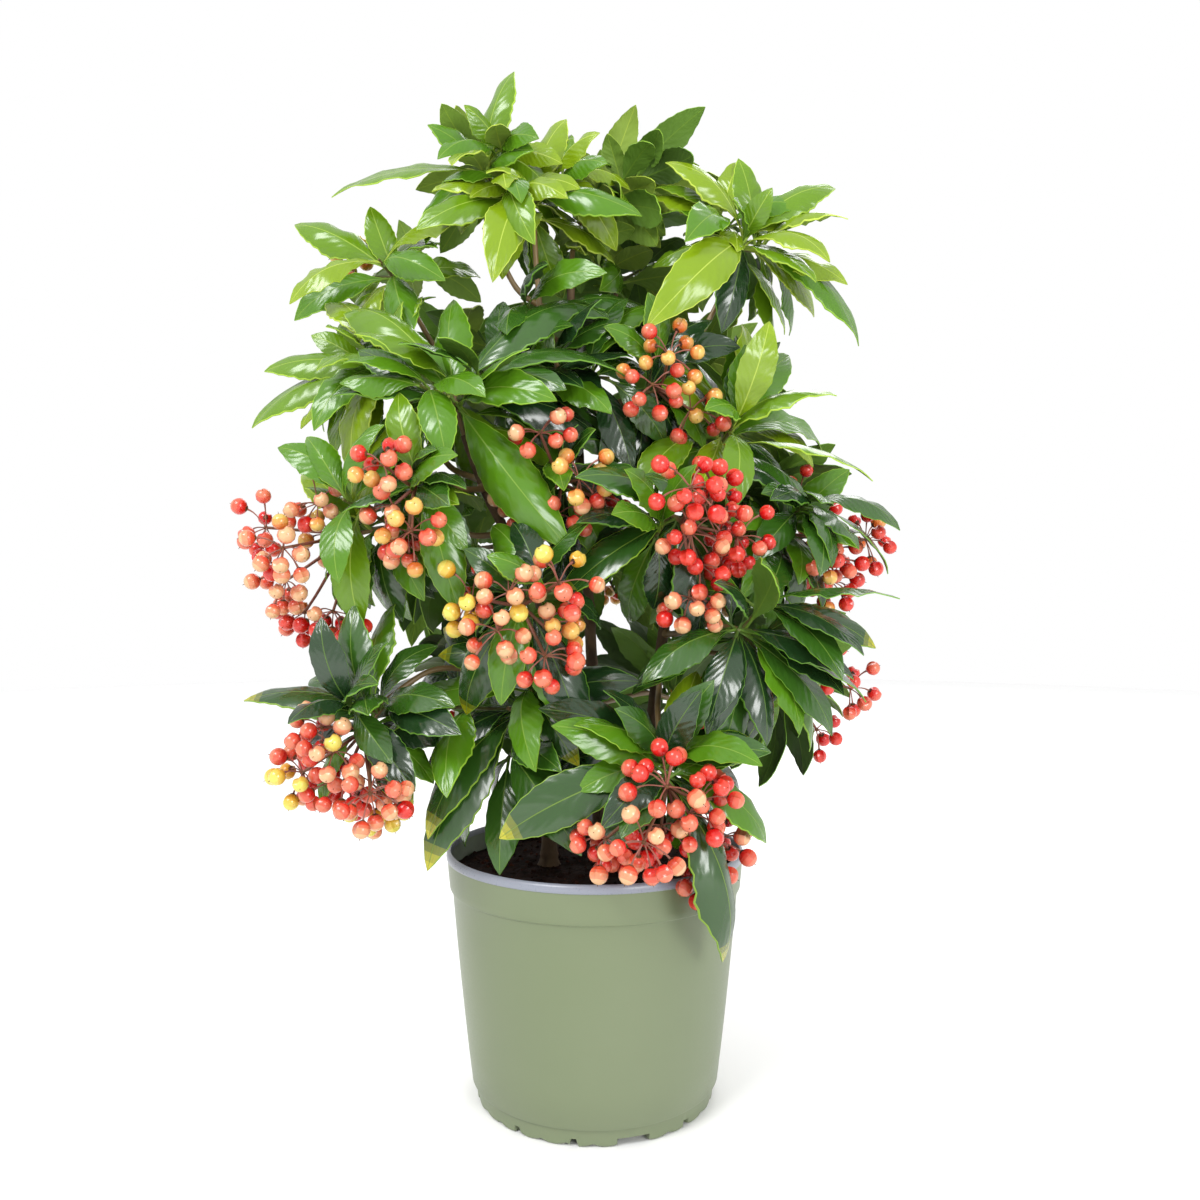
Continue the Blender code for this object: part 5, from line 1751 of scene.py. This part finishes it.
@dataclass
class Wood:
    """The stems with their bark, the boughs, and the twigs that the masses grow on.

    Attributes:
        growth: the plant's lines.
        stem_cut, bough_cut, twig_cut, side_cut: how many sides and rows each kind of limb has.
        ridges: depth of the bark's ridges as a share of the radius.
        ridge_rows: how many ridges lie round half a stem and how many along it.
        fine_ridges: depth of its finer ridges as a share of the others', and how much finer.
        scars, scar_zone: how many ring scars a stem has, and where in its stretch each lies.
        scar_rise: how far they stand out, as a share of the radius.
        scar_width: their half width as a share of the stem's length.
        knot_rise: how far a knot stands out, as a share of the radius.
        knot_rows, knot_power: how closely the knots follow each other and how narrow they are.
        knot_phase: where they start.
        sunk, twig_sunk: how far a bough's foot reaches into its stem, and a twig's back, as a
            share of that.
        collar: how much thicker a bough is at its foot.
        side_taper: a side twig's radius at its foot and its tip, as shares of its own.
    """

    growth: Growth
    stem_cut: tuple[int, int] = (24, 220)
    bough_cut: tuple[int, int] = (14, 26)
    twig_cut: tuple[int, int] = (12, 18)
    side_cut: tuple[int, int] = (10, 10)
    ridges: float = 0.07
    ridge_rows: Pair = (1.6, 34.0)
    fine_ridges: Pair = (0.6, 2.7)
    scars: int = 17
    scar_zone: Pair = (0.1, 0.9)
    scar_rise: float = 0.11
    scar_width: float = 0.0035
    knot_rise: float = 0.09
    knot_rows: float = 37.0
    knot_power: int = 8
    knot_phase: Pair = (0.0, 9.0)
    sunk: float = 1.8 * MM
    twig_sunk: float = 0.6
    collar: float = 1.45
    side_taper: Pair = (1.1, 0.8)

    def build(self) -> None:
        """Make the stems, the boughs and the twigs."""
        for stem in self.growth.stems.values():
            tie(self.stem(stem), ("stem_" + stem.name,))
        boughs, nodes = self.boughs()
        tie(boughs, nodes)
        tie(self.twigs(), [mass.shoot.name for mass in self.growth.masses])

    def stem(self, stem: StemPath) -> Object:
        """Return one stem with ridged bark and ring scars.

        Args:
            stem: its line.

        Returns:
            The object.
        """
        chance = random.Random(stem.name + "_bark")
        scars = [(number + chance.uniform(*self.scar_zone)) / self.scars for number in range(self.scars)]
        pattern = Pattern.tube(*self.stem_cut)
        tube = Tube.along(stem.points, stem.radii, self.stem_cut[1])
        around, along = self.ridge_rows
        share, finer = self.fine_ridges
        swell = np.ones(len(pattern.spots))
        for number, (x, y, z) in enumerate(pattern.spots):
            place = Vector((x * around, y * around, z * along + len(stem.name)))
            swell[number] += self.ridges * noise.noise(place)
            swell[number] += self.ridges * share * noise.noise(place * finer)
            ring = min(abs(z - scar) for scar in scars)
            swell[number] += self.scar_rise * math.exp(-(ring / self.scar_width) ** 2)
        cluster = Cluster()
        cluster.add(tube.spots(pattern, swell), pattern)
        return cluster.build("bark_" + stem.name, (STEM_BARK,))

    def boughs(self) -> tuple[Object, list[str]]:
        """Make the boughs.

        Returns:
            The boughs, joined, and the CAD nodes that they stand for.
        """
        pattern = Pattern.tube(*self.bough_cut)
        cluster = Cluster()
        nodes = []
        for mass in self.growth.masses:
            if not mass.bough:
                continue
            places = self.rooted(mass.bough, self.sunk)
            radii = tapered((BOUGH_RADIUS, BOUGH_TIP_RADIUS), len(places))
            radii[:2] = [radius * self.collar for radius in radii[:2]]
            tube = Tube.along(places, radii, self.bough_cut[1])
            cluster.add(self.knotty(tube, pattern, mass.shoot.name), pattern)
            nodes.append("bough_" + mass.shoot.name)
        return cluster.build("boughs", (TWIG_BARK,)), nodes

    def rooted(self, places: Sequence[Vector], depth: float) -> list[Vector]:
        """Return a limb's places with one more before its foot, a depth further back."""
        leave = (places[1] - places[0]).normalized()
        return [places[0] - leave * depth, *places]

    def knotty(self, tube: Tube, pattern: Pattern, name: str) -> np.ndarray:
        """Wrap a limb, with low knots along it.

        Args:
            tube: its tube.
            pattern: the tube's pattern.
            name: what seeds the knots.

        Returns:
            Where the pattern's vertices stand.
        """
        phase = random.Random(name + "_knots").uniform(*self.knot_phase)
        knots = np.sin(pattern.spots[:, 2] * self.knot_rows + phase) ** self.knot_power
        return tube.spots(pattern, 1 + self.knot_rise * knots)

    def twigs(self) -> Object:
        """Make the twigs and side twigs.

        Returns:
            The twigs, joined.
        """
        pattern, side_pattern = Pattern.tube(*self.twig_cut), Pattern.tube(*self.side_cut)
        cluster = Cluster()
        for mass in self.growth.masses:
            places = self.rooted(mass.twig, self.sunk * self.twig_sunk)
            radii = tapered((TWIG_RADIUS, TWIG_TIP_RADIUS), len(places))
            tube = Tube.along(places, radii, self.twig_cut[1])
            cluster.add(self.knotty(tube, pattern, mass.shoot.name), pattern)
            for twig in mass.side_twigs:
                radii = [twig.radius * share for share in self.side_taper]
                tube = Tube.along([twig.start, twig.end], radii, self.side_cut[1])
                spots = self.knotty(tube, side_pattern, mass.shoot.name + "_side")
                cluster.add(spots, side_pattern, 1)
        return cluster.build("twigs", (TWIG_BARK, YOUNG_TWIG))


# Where a leaf pattern's lines run, where it changes colour, and how far its side veins slant.
RIB_COLUMN = 0.07
MARGIN_COLUMN = 0.92
TIP_BANDS = ((0.95, LeafSide.TIP), (0.91, LeafSide.NEAR_TIP), (0.86, LeafSide.SHOULDER))
EDGE_BAND = 0.4
VEIN_SLANT = 0.22
STALK_ROWS = (0.0, 0.05, 0.1)
BLADE_FROM = 0.13
FULL_COLUMNS = (-1.0, -0.94, -0.5, -0.045, 0.045, 0.5, 0.94, 1.0)
LEAN_COLUMNS = (-1.0, -0.06, 0.06, 1.0)
ROW_WELD = 1e-4

# How a leaf is rounded out, in millimetres or as shares of its half width.
BLADE_HALF_WIDTH = 8.3
BLADE_MODEL = 50.0
BLADE_GAIN = 0.6
BLADE_SKEW = 1.06
BLADE_FULLNESS = (1.15, 0.9)
STALK_HALF_WIDTH = 0.7
TIP_HALF_WIDTH = 0.12
CRENATION = 0.055
CRENATE_FROM = 0.02
BLADE_THICKNESS = 0.4
RIB_HALF_WIDTH = 0.34
RIB_TAPER = 0.6
RIB_MOST = 0.35
RIB_DEPTH = 0.35
RIB_GROOVE = 0.14
MARGIN_WIDTH = 0.3
MARGIN_LEAST = 0.55
WAVE_SHIFT = 1.3
HOOK_FROM = 0.45
ARCH_GAIN = 1.4


class LeafPattern(Pattern):
    """A leaf laid flat: x runs across from -1 to 1, y from root to tip, and z 0 above, -1 below."""

    def __init__(self, columns: tuple[float, ...], rows: tuple[float, ...]) -> None:
        """Lay out a leaf.

        Args:
            columns: where its lines from root to tip run.
            rows: where its lines across run.
        """
        mesh = bmesh.new()
        across, along = len(columns) - 1, len(rows) - 1
        bmesh.ops.create_grid(mesh, x_segments=across, y_segments=along, size=1.0)
        for vert in mesh.verts:
            column = round((vert.co.x + 1) / 2 * across)
            row = round((vert.co.y + 1) / 2 * along)
            vert.co = (columns[column], rows[row], 0.0)
        grown = bmesh.ops.extrude_face_region(mesh, geom=mesh.faces[:], use_keep_orig=True)
        under = [item for item in grown["geom"] if isinstance(item, BMVert)]
        bmesh.ops.translate(mesh, vec=(0.0, 0.0, -1.0), verts=under)
        bmesh.ops.recalc_face_normals(mesh, faces=mesh.faces)
        super().__init__(mesh)
        self.across, self.share = self.spots[:, 0], self.spots[:, 1]
        self.under = self.spots[:, 2] < -0.5
        self.blade = np.clip((self.share - LEAF_STALK) / (1 - LEAF_STALK), 0.0, 1.0)
        self.spread = np.clip((self.share - STALK_ROWS[1]) / (BLADE_FROM - STALK_ROWS[1]), 0.0, 1.0)
        self.on_rib = abs(self.across) < RIB_COLUMN
        self.on_edge = abs(self.across) == 1
        self.near_margin = (abs(self.across) > MARGIN_COLUMN) & ~self.on_edge
        self.odd = np.isclose(self.share[:, None], np.array(rows)[1::2], atol=ROW_WELD).any(axis=1)
        self.places = np.stack([self.share - VEIN_SLANT * abs(self.across), self.across], axis=1)
        self.sides = np.array([self.side(*middle).value for middle in self.middles])

    def side(self, across: float, share: float, height: float) -> LeafSide:
        """Return the part of the leaf that a face belongs to.

        Args:
            across: how far across its middle is.
            share: how far from root to tip.
            height: its height, 0 above and -1 below.

        Returns:
            The part.
        """
        if share < LEAF_STALK:
            return LeafSide.RIB
        if abs(height + 0.5) < EDGE_BAND:
            return LeafSide.MARGIN
        if abs(across) < RIB_COLUMN:
            return LeafSide.RIB
        if height < -0.5:
            return LeafSide.UNDER
        if abs(across) > MARGIN_COLUMN:
            return LeafSide.MARGIN
        return next((part for start, part in TIP_BANDS if share > start), LeafSide.UPPER)


def leaf_rows(blade_rows: int) -> tuple[float, ...]:
    """Return where the lines across a leaf run, the blade cut into a number of rows."""
    blade = [BLADE_FROM + (1 - BLADE_FROM) * row / blade_rows for row in range(blade_rows + 1)]
    return (*STALK_ROWS, *blade)


# The smallest and the largest value of each field of Habit, in their order.
HABIT_RANGES = ((0.08, 0.42), (0.3, 0.9), (0.03, 0.13), (2.5, 5.0), (0.0, math.tau), (-0.4, 0.4),
                (0.03, 0.13))


@dataclass(frozen=True)
class Habit:
    """How one leaf is folded, waved and turned.

    Attributes:
        fold: how steeply its halves rise from the midrib.
        curl: how much they turn down again towards the margin.
        wave: height of its margin's waves as a share of the half width.
        waves: how many waves it has.
        phase: where they start.
        twist: how far it turns about its line, in radians.
        hook: how far its tip hangs, as a share of its length.
    """

    fold: float
    curl: float
    wave: float
    waves: float
    phase: float
    twist: float
    hook: float

    @classmethod
    def by_chance(cls, chance: random.Random) -> "Habit":
        """Return a leaf's habit, drawn from a seeded source."""
        return cls(*(chance.uniform(*ends) for ends in HABIT_RANGES))

    def spots(self, leaf: Leaf, pattern: LeafPattern) -> np.ndarray:
        """Return where a leaf pattern's vertices stand on a leaf.

        Args:
            leaf: the leaf.
            pattern: the pattern.

        Returns:
            The places of the pattern's vertices.
        """
        share = pattern.share
        full = BLADE_HALF_WIDTH * (leaf.length / MM / BLADE_MODEL) ** BLADE_GAIN * MM
        fullness = between(BLADE_FULLNESS, pattern.blade)
        neck = between((STALK_HALF_WIDTH, TIP_HALF_WIDTH), share) * MM
        half = np.hypot(full * (1 - (2 * pattern.blade ** BLADE_SKEW - 1) ** 2) ** fullness, neck)
        side = self.sideways(pattern, half)
        reach = abs(side)
        lift = self.fold * reach - self.curl * reach ** 2 / full
        wave = np.sin(self.waves * math.tau * share + self.phase + (pattern.across > 0) * WAVE_SHIFT)
        lift = lift + self.wave * half * pattern.across ** 2 * wave
        droop = np.clip((share - HOOK_FROM) / (1 - HOOK_FROM), 0.0, 1.0) ** 2
        face = self.face(pattern, neck) + lift * pattern.spread
        return self.place(leaf, share, side, face, self.hook * leaf.length * droop)

    def sideways(self, pattern: LeafPattern, half: np.ndarray) -> np.ndarray:
        """Return how far to the side of its line a leaf's places are.

        Args:
            pattern: the leaf's pattern.
            half: half the leaf's width at each of its places.

        Returns:
            The distances, with the rib and the margin as narrow bands and the edge scalloped.
        """
        hand, odd = np.sign(pattern.across), pattern.odd
        rib = np.minimum(RIB_HALF_WIDTH * MM * (1 - RIB_TAPER * pattern.share), RIB_MOST * half)
        side = np.where(pattern.on_rib, hand * rib, pattern.across * half)
        margin = np.maximum(half * (1 - CRENATION * odd) - MARGIN_WIDTH * MM, MARGIN_LEAST * half)
        side = np.where(pattern.near_margin, hand * margin, side)
        notched = pattern.on_edge & odd & (pattern.blade > CRENATE_FROM)
        return np.where(notched, side * (1 - CRENATION), side)

    def face(self, pattern: LeafPattern, neck: np.ndarray) -> np.ndarray:
        """Return how far above the middle of its thickness a flat leaf's places are.

        Args:
            pattern: the leaf's pattern.
            neck: half the width of its stalk at each of its places.

        Returns:
            The distances, below it negative, with the midrib's keel and groove.
        """
        stalk = neck * np.sqrt(np.maximum(1 - pattern.across ** 2, 0.0))
        keel = np.where(pattern.on_rib & pattern.under, RIB_DEPTH * MM * (1 - pattern.share), 0.0)
        groove = np.where(pattern.on_rib & ~pattern.under, RIB_GROOVE * MM, 0.0)
        blade = BLADE_THICKNESS / 2 * MM + keel - groove
        face = stalk * (1 - pattern.spread) + blade * pattern.spread
        return face * np.where(pattern.under, -1.0, 1.0)

    def place(self, leaf: Leaf, share: np.ndarray, side: np.ndarray, face: np.ndarray,
              hang: np.ndarray) -> np.ndarray:
        """Bend flat places along a leaf's arched line.

        Args:
            leaf: the leaf.
            share: how far along the leaf each place is.
            side: how far to its side.
            face: how far above its line.
            hang: how far the line hangs below the leaf's arch.

        Returns:
            The places in the scene.
        """
        chord, normal = np.array(leaf.chord), np.array(leaf.normal)
        flat = np.cross(normal, chord)
        bend = leaf.bend * ARCH_GAIN
        start = bend / 2
        angle = start - bend * share
        radius = leaf.length / leaf.bend * math.sin(leaf.bend / 2) / math.sin(start)
        along = (math.sin(start) - np.sin(angle)) * radius
        rise = (np.cos(angle) - math.cos(start)) * radius - hang
        up = normal * np.cos(angle)[:, None] - chord * np.sin(angle)[:, None]
        turn = self.twist * share
        sideways = flat * np.cos(turn)[:, None] + up * np.sin(turn)[:, None]
        upwards = up * np.cos(turn)[:, None] - flat * np.sin(turn)[:, None]
        line = np.array(leaf.root) + chord * along[:, None] + normal * rise[:, None]
        return line + sideways * side[:, None] + upwards * face[:, None]


@dataclass
class Foliage:
    """The leaves of all masses, joined by storey.

    Attributes:
        growth: the plant's lines.
        storeys: name of each joined piece and the height that its masses' middles stay below.
        full_rows: rows of the blade of a leaf that the solids have too.
        lean_rows: rows of the blade of a finer leaf.
        crease: angle in degrees past which an edge stays sharp.
    """

    growth: Growth
    storeys: tuple[tuple[str, float], ...] = (("leaves_low", 200.0), ("leaves_middle", 300.0),
                                              ("leaves_high", 345.0), ("leaves_top", 999.0))
    full_rows: int = 20
    lean_rows: int = 16
    crease: float = 48.0

    def build(self) -> None:
        """Make the joined leaves of each storey."""
        full = LeafPattern(FULL_COLUMNS, leaf_rows(self.full_rows))
        lean = LeafPattern(LEAN_COLUMNS, leaf_rows(self.lean_rows))
        finishes = self.finishes()
        floor = 0.0
        for name, ceiling in self.storeys:
            masses = [mass for mass in self.growth.masses
                      if floor <= mass.on_twig(0.5)[0].z / MM < ceiling]
            floor = ceiling
            cluster = Cluster()
            for mass in masses:
                chance = random.Random(mass.shoot.name + "_habit")
                for leaf in mass.leaves:
                    pattern = lean if leaf.fine else full
                    spots = Habit.by_chance(chance).spots(leaf, pattern)
                    tone = Tone.DEEP if leaf.fine and leaf.tone is Tone.TIPPED else leaf.tone
                    slots = tone.value * len(LeafSide) + pattern.sides
                    cluster.add(spots, pattern, slots, pattern.places)
            tie(cluster.build(name, finishes, self.crease),
                [mass.shoot.name for mass in masses])

    def finishes(self) -> list[Finish]:
        """Make the finishes of the leaves.

        Returns:
            Those of every side of a leaf, tone by tone.
        """
        finishes = []
        for tone in Tone:
            for side in LeafSide:
                roughness, gloss, veins = LEAF_SKINS[side]
                if tone in OLD_TONES:
                    gloss *= OLD_GLOSS
                name = f"leaf_{tone.name}_{side.name}".lower()
                dye = LEAF_DYES[tone].of(side)
                finishes.append(Finish(name, dye, roughness, gloss=gloss, veins=veins))
        return finishes


@dataclass
class Umbels:
    """The stalks of the umbels and their berries.

    Attributes:
        growth: the plant's lines.
        plumpness: smallest and largest berry, as shares of the solids' berry.
        stalk_cut, thread_cut: how many sides and rows an umbel's and a berry's stalk have.
        arcs: how many stretches each stalk's line has.
        stalk_lean: how much an umbel's stalk leaves along the twig.
        stalk_widths: its radius at each of its places, as shares of its own.
        thread, thread_widths: radius of a berry's stalk, and at each place as a share of it.
        droop, rise: how far a berry's stalk turns down, and how far it rises first, as a share of that.
        node_radius: radius of the swelling where an umbel's stalks meet.
        berry_cut: how many segments and rings a berry has.
        sepals, sepal_notch: how many the calyx has, and how far it is drawn in between them.
        sepal_radius, sepal_foot: its radius as a share of the berry's, and its foot's of its own.
        sepal_place: its depth, and where on the berry's axis its middle is.
        style: foot radius, tip radius, length and middle of the style, for a berry of radius 1.
        style_sides: how many sides it has.
        strays: share of the berries that are riper or less ripe than their umbel.
        crease: angle in degrees past which a berry's edges stay sharp.
    """

    growth: Growth
    plumpness: Pair = (0.78, 0.92)
    stalk_cut: tuple[int, int] = (9, 10)
    thread_cut: tuple[int, int] = (7, 7)
    arcs: int = 5
    stalk_lean: float = 0.5
    stalk_widths: tuple[float, ...] = (1.15, 1.09, 1.03, 0.97, 0.91, 0.85)
    thread: float = 0.27
    thread_widths: tuple[float, ...] = (1.2, 1.0, 0.95, 1.0, 1.25, 1.8)
    droop: float = 0.35
    rise: float = 0.6
    node_radius: float = 0.95
    berry_cut: tuple[int, int] = (12, 9)
    sepals: int = 5
    sepal_notch: float = 0.7
    sepal_radius: float = 0.42
    sepal_foot: float = 0.45
    sepal_place: Pair = (0.16, -0.97)
    style: tuple[float, float, float, float] = (0.07, 0.01, 0.3, 1.08)
    style_sides: int = 5
    strays: float = 0.4
    crease: float = 40.0

    def build(self) -> None:
        """Make the stalks and the berries."""
        stalks, berries = Cluster(), Cluster()
        peduncle, pedicel = Pattern.tube(*self.stalk_cut), Pattern.tube(*self.thread_cut)
        knob, berry = Pattern(unit_ball(2)), self.berry()
        bands = len(BERRY_BANDS)
        chance = random.Random("berries")
        for mass in self.growth.masses:
            along = mass.on_twig(1.0)[1]
            for rod in mass.peduncles:
                run = (rod.end - rod.start).normalized()
                leave = (run + along * self.stalk_lean).normalized()
                path = arched_path(rod.start, leave, rod.end, run, self.arcs)
                radii = [rod.radius * width for width in self.stalk_widths]
                tube = Tube.along(path, radii, self.stalk_cut[1])
                stalks.add(tube.spots(peduncle), peduncle)
                stalks.add(knob.spots * self.node_radius * MM + np.array(rod.end), knob, 2)
            for fruit in mass.fruit:
                axis = self.hang(fruit, stalks, pedicel)
                size = BERRY_RADIUS * MM * chance.uniform(*self.plumpness)
                turn = np.array(axis.to_track_quat("Z", "Y").to_matrix())
                spots = berry.spots @ turn.T * size + np.array(fruit.centre)
                ripeness = self.ripeness(mass, fruit, chance)
                band = np.where(berry.kinds < bands, ripeness.value, len(Ripeness) - 1)
                berries.add(spots, berry, band * bands + berry.kinds)
        tie(stalks.build("umbel_stalks", (PEDUNCLE_SKIN, PEDICEL_SKIN, CALYX_SKIN)))
        finishes = (*self.skins(), CALYX_SKIN, STYLE_SKIN)
        tie(berries.build("berries", finishes, self.crease))

    def skins(self) -> list[Finish]:
        """Make the finishes of the berries.

        Returns:
            Those of a berry's bands, ripeness by ripeness.
        """
        return [Finish(f"berry_{ripeness.name.lower()}_{number}", blended(*BERRY_DYES[ripeness], share),
                       BERRY_ROUGHNESS, grain=BERRY_GRAIN, spread=BERRY_SPREAD, coat=BERRY_COAT)
                for ripeness in Ripeness for number, share in enumerate(BERRY_BANDS)]

    def hang(self, fruit: Fruit, stalks: Cluster, pattern: Pattern) -> Vector:
        """Add a berry's stalk.

        Args:
            fruit: the berry as it grew.
            stalks: the joined stalks.
            pattern: the stalk's pattern.

        Returns:
            The direction in which the berry hangs.
        """
        run = (fruit.stalk.end - fruit.stalk.start).normalized()
        arrive = (run - UP * self.droop).normalized()
        leave = (run + UP * self.droop * self.rise).normalized()
        neck = fruit.centre - arrive * BERRY_RADIUS * MM * self.plumpness[0]
        path = arched_path(fruit.stalk.start, leave, neck, arrive, self.arcs)
        radii = [self.thread * MM * width for width in self.thread_widths]
        tube = Tube.along(path, radii, self.thread_cut[1])
        stalks.add(tube.spots(pattern), pattern, 1)
        return arrive

    def ripeness(self, mass: Mass, fruit: Fruit, chance: random.Random) -> Ripeness:
        """Return how ripe a berry is, mostly as its umbel.

        Args:
            mass: the mass that it belongs to.
            fruit: the berry.
            chance: the seeded source that decides.

        Returns:
            How ripe it is.
        """
        choices = mass.dress.berries
        ripeness = choices[fruit.umbel % len(choices)]
        if chance.random() < self.strays:
            ripeness = choices[chance.randrange(len(choices))]
        return ripeness

    def berry(self) -> "BerryPattern":
        """Make a berry of radius 1 that hangs along +Z, with calyx and style.

        Returns:
            Its pattern.
        """
        mesh = bmesh.new()
        segments, rings = self.berry_cut
        bmesh.ops.create_uvsphere(mesh, u_segments=segments, v_segments=rings, radius=1.0)
        bands = len(BERRY_BANDS)
        kinds = [min(int((1 + face.calc_center_median().z) / 2 * bands), bands - 1)
                 for face in mesh.faces]
        skin = len(mesh.verts)
        add_cone(mesh, 2 * self.sepals, self.sepal_radius * self.sepal_foot, self.sepal_radius,
                 *self.sepal_place)
        mesh.verts.ensure_lookup_table()
        for vert in mesh.verts[skin:]:
            turn = math.atan2(vert.co.y, vert.co.x) / math.pi
            if round(turn * self.sepals) % 2:
                vert.co.x *= self.sepal_notch
                vert.co.y *= self.sepal_notch
        kinds += [bands] * (len(mesh.faces) - len(kinds))
        add_cone(mesh, self.style_sides, *self.style)
        kinds += [bands + 1] * (len(mesh.faces) - len(kinds))
        return BerryPattern(mesh, kinds)


class BerryPattern(Pattern):
    """A berry with the kind of each face: the number of its band, then calyx, then style."""

    def __init__(self, mesh: BMesh, kinds: Sequence[int]) -> None:
        """Take over a mesh and the kinds of its faces."""
        super().__init__(mesh)
        self.kinds = np.array(kinds)


@dataclass
class Studio:
    """The camera, the pale floor and the lights.

    Attributes:
        camera_place: where the camera stands, in metres.
        lens: its focal length in millimetres.
        sensor: width of its sensor in millimetres.
        nearest: how near to the camera things show.
        floor_radius: radius of the floor.
        floor_sides: how many sides it has.
        daylight: strength of the white surroundings.
        aim: the height on the Z axis that the lamps look at.
        lamps: name, place, side in metres and power in watts of each lamp.
    """

    camera_place: Point = (0.0022, -0.447, 0.2145)
    lens: float = 30.33
    sensor: float = 36.0
    nearest: float = 0.01
    floor_radius: float = 2.4
    floor_sides: int = 96
    daylight: float = 1.0
    aim: float = 0.25
    lamps: tuple[tuple[str, Point, float, float], ...] = (
        ("key", (-0.9, -1.1, 1.5), 0.7, 24.0),
        ("fill", (0.7, -1.2, 0.5), 0.5, 10.0),
        ("back", (0.3, 1.2, 1.4), 0.9, 10.0),
    )

    def build(self) -> None:
        """Set up camera, floor, surroundings and lamps."""
        scene = bpy.context.scene
        camera = bpy.data.objects.new("camera", bpy.data.cameras.new("camera"))
        camera.data.lens = self.lens
        camera.data.sensor_width = self.sensor
        camera.data.clip_start = self.nearest
        camera.location = self.camera_place
        camera.rotation_euler = (math.pi / 2, 0.0, 0.0)
        scene.collection.objects.link(camera)
        scene.camera = camera
        scene.view_settings.view_transform = "Standard"
        self.floor()
        world = bpy.data.worlds.new("daylight")
        world.use_nodes = True
        feed(world.node_tree.nodes["Background"],
             {"Color": (1.0, 1.0, 1.0, 1.0), "Strength": self.daylight})
        scene.world = world
        for name, place, size, power in self.lamps:
            self.lamp(name, place, size, power)

    def floor(self) -> None:
        """Lay the pale floor."""
        mesh = bmesh.new()
        bmesh.ops.create_circle(mesh, cap_ends=True, segments=self.floor_sides,
                                radius=self.floor_radius)
        finished("floor", stored("floor", mesh), (PALE_FLOOR,))

    def lamp(self, name: str, place: Point, size: float, power: float) -> None:
        """Hang a soft square lamp that looks at the plant.

        Args:
            name: the lamp's name.
            place: where it hangs.
            size: its side in metres.
            power: its power in watts.
        """
        light = bpy.data.lights.new(name, "AREA")
        light.size = size
        light.energy = power
        lamp = bpy.data.objects.new(name, light)
        lamp.location = place
        towards = UP * self.aim - lamp.location
        lamp.rotation_euler = towards.to_track_quat("-Z", "Y").to_euler()
        bpy.context.scene.collection.objects.link(lamp)


def main() -> None:
    """Build the studio, the pot and the plant round the CAD frame."""
    logging.basicConfig(level=logging.INFO, format="%(message)s")
    Studio().build()
    Pot().build()
    Soil().build()
    growth = Growth()
    growth.grow()
    Wood(growth).build()
    Foliage(growth).build()
    Umbels(growth).build()


if __name__ == "__main__":
    main()
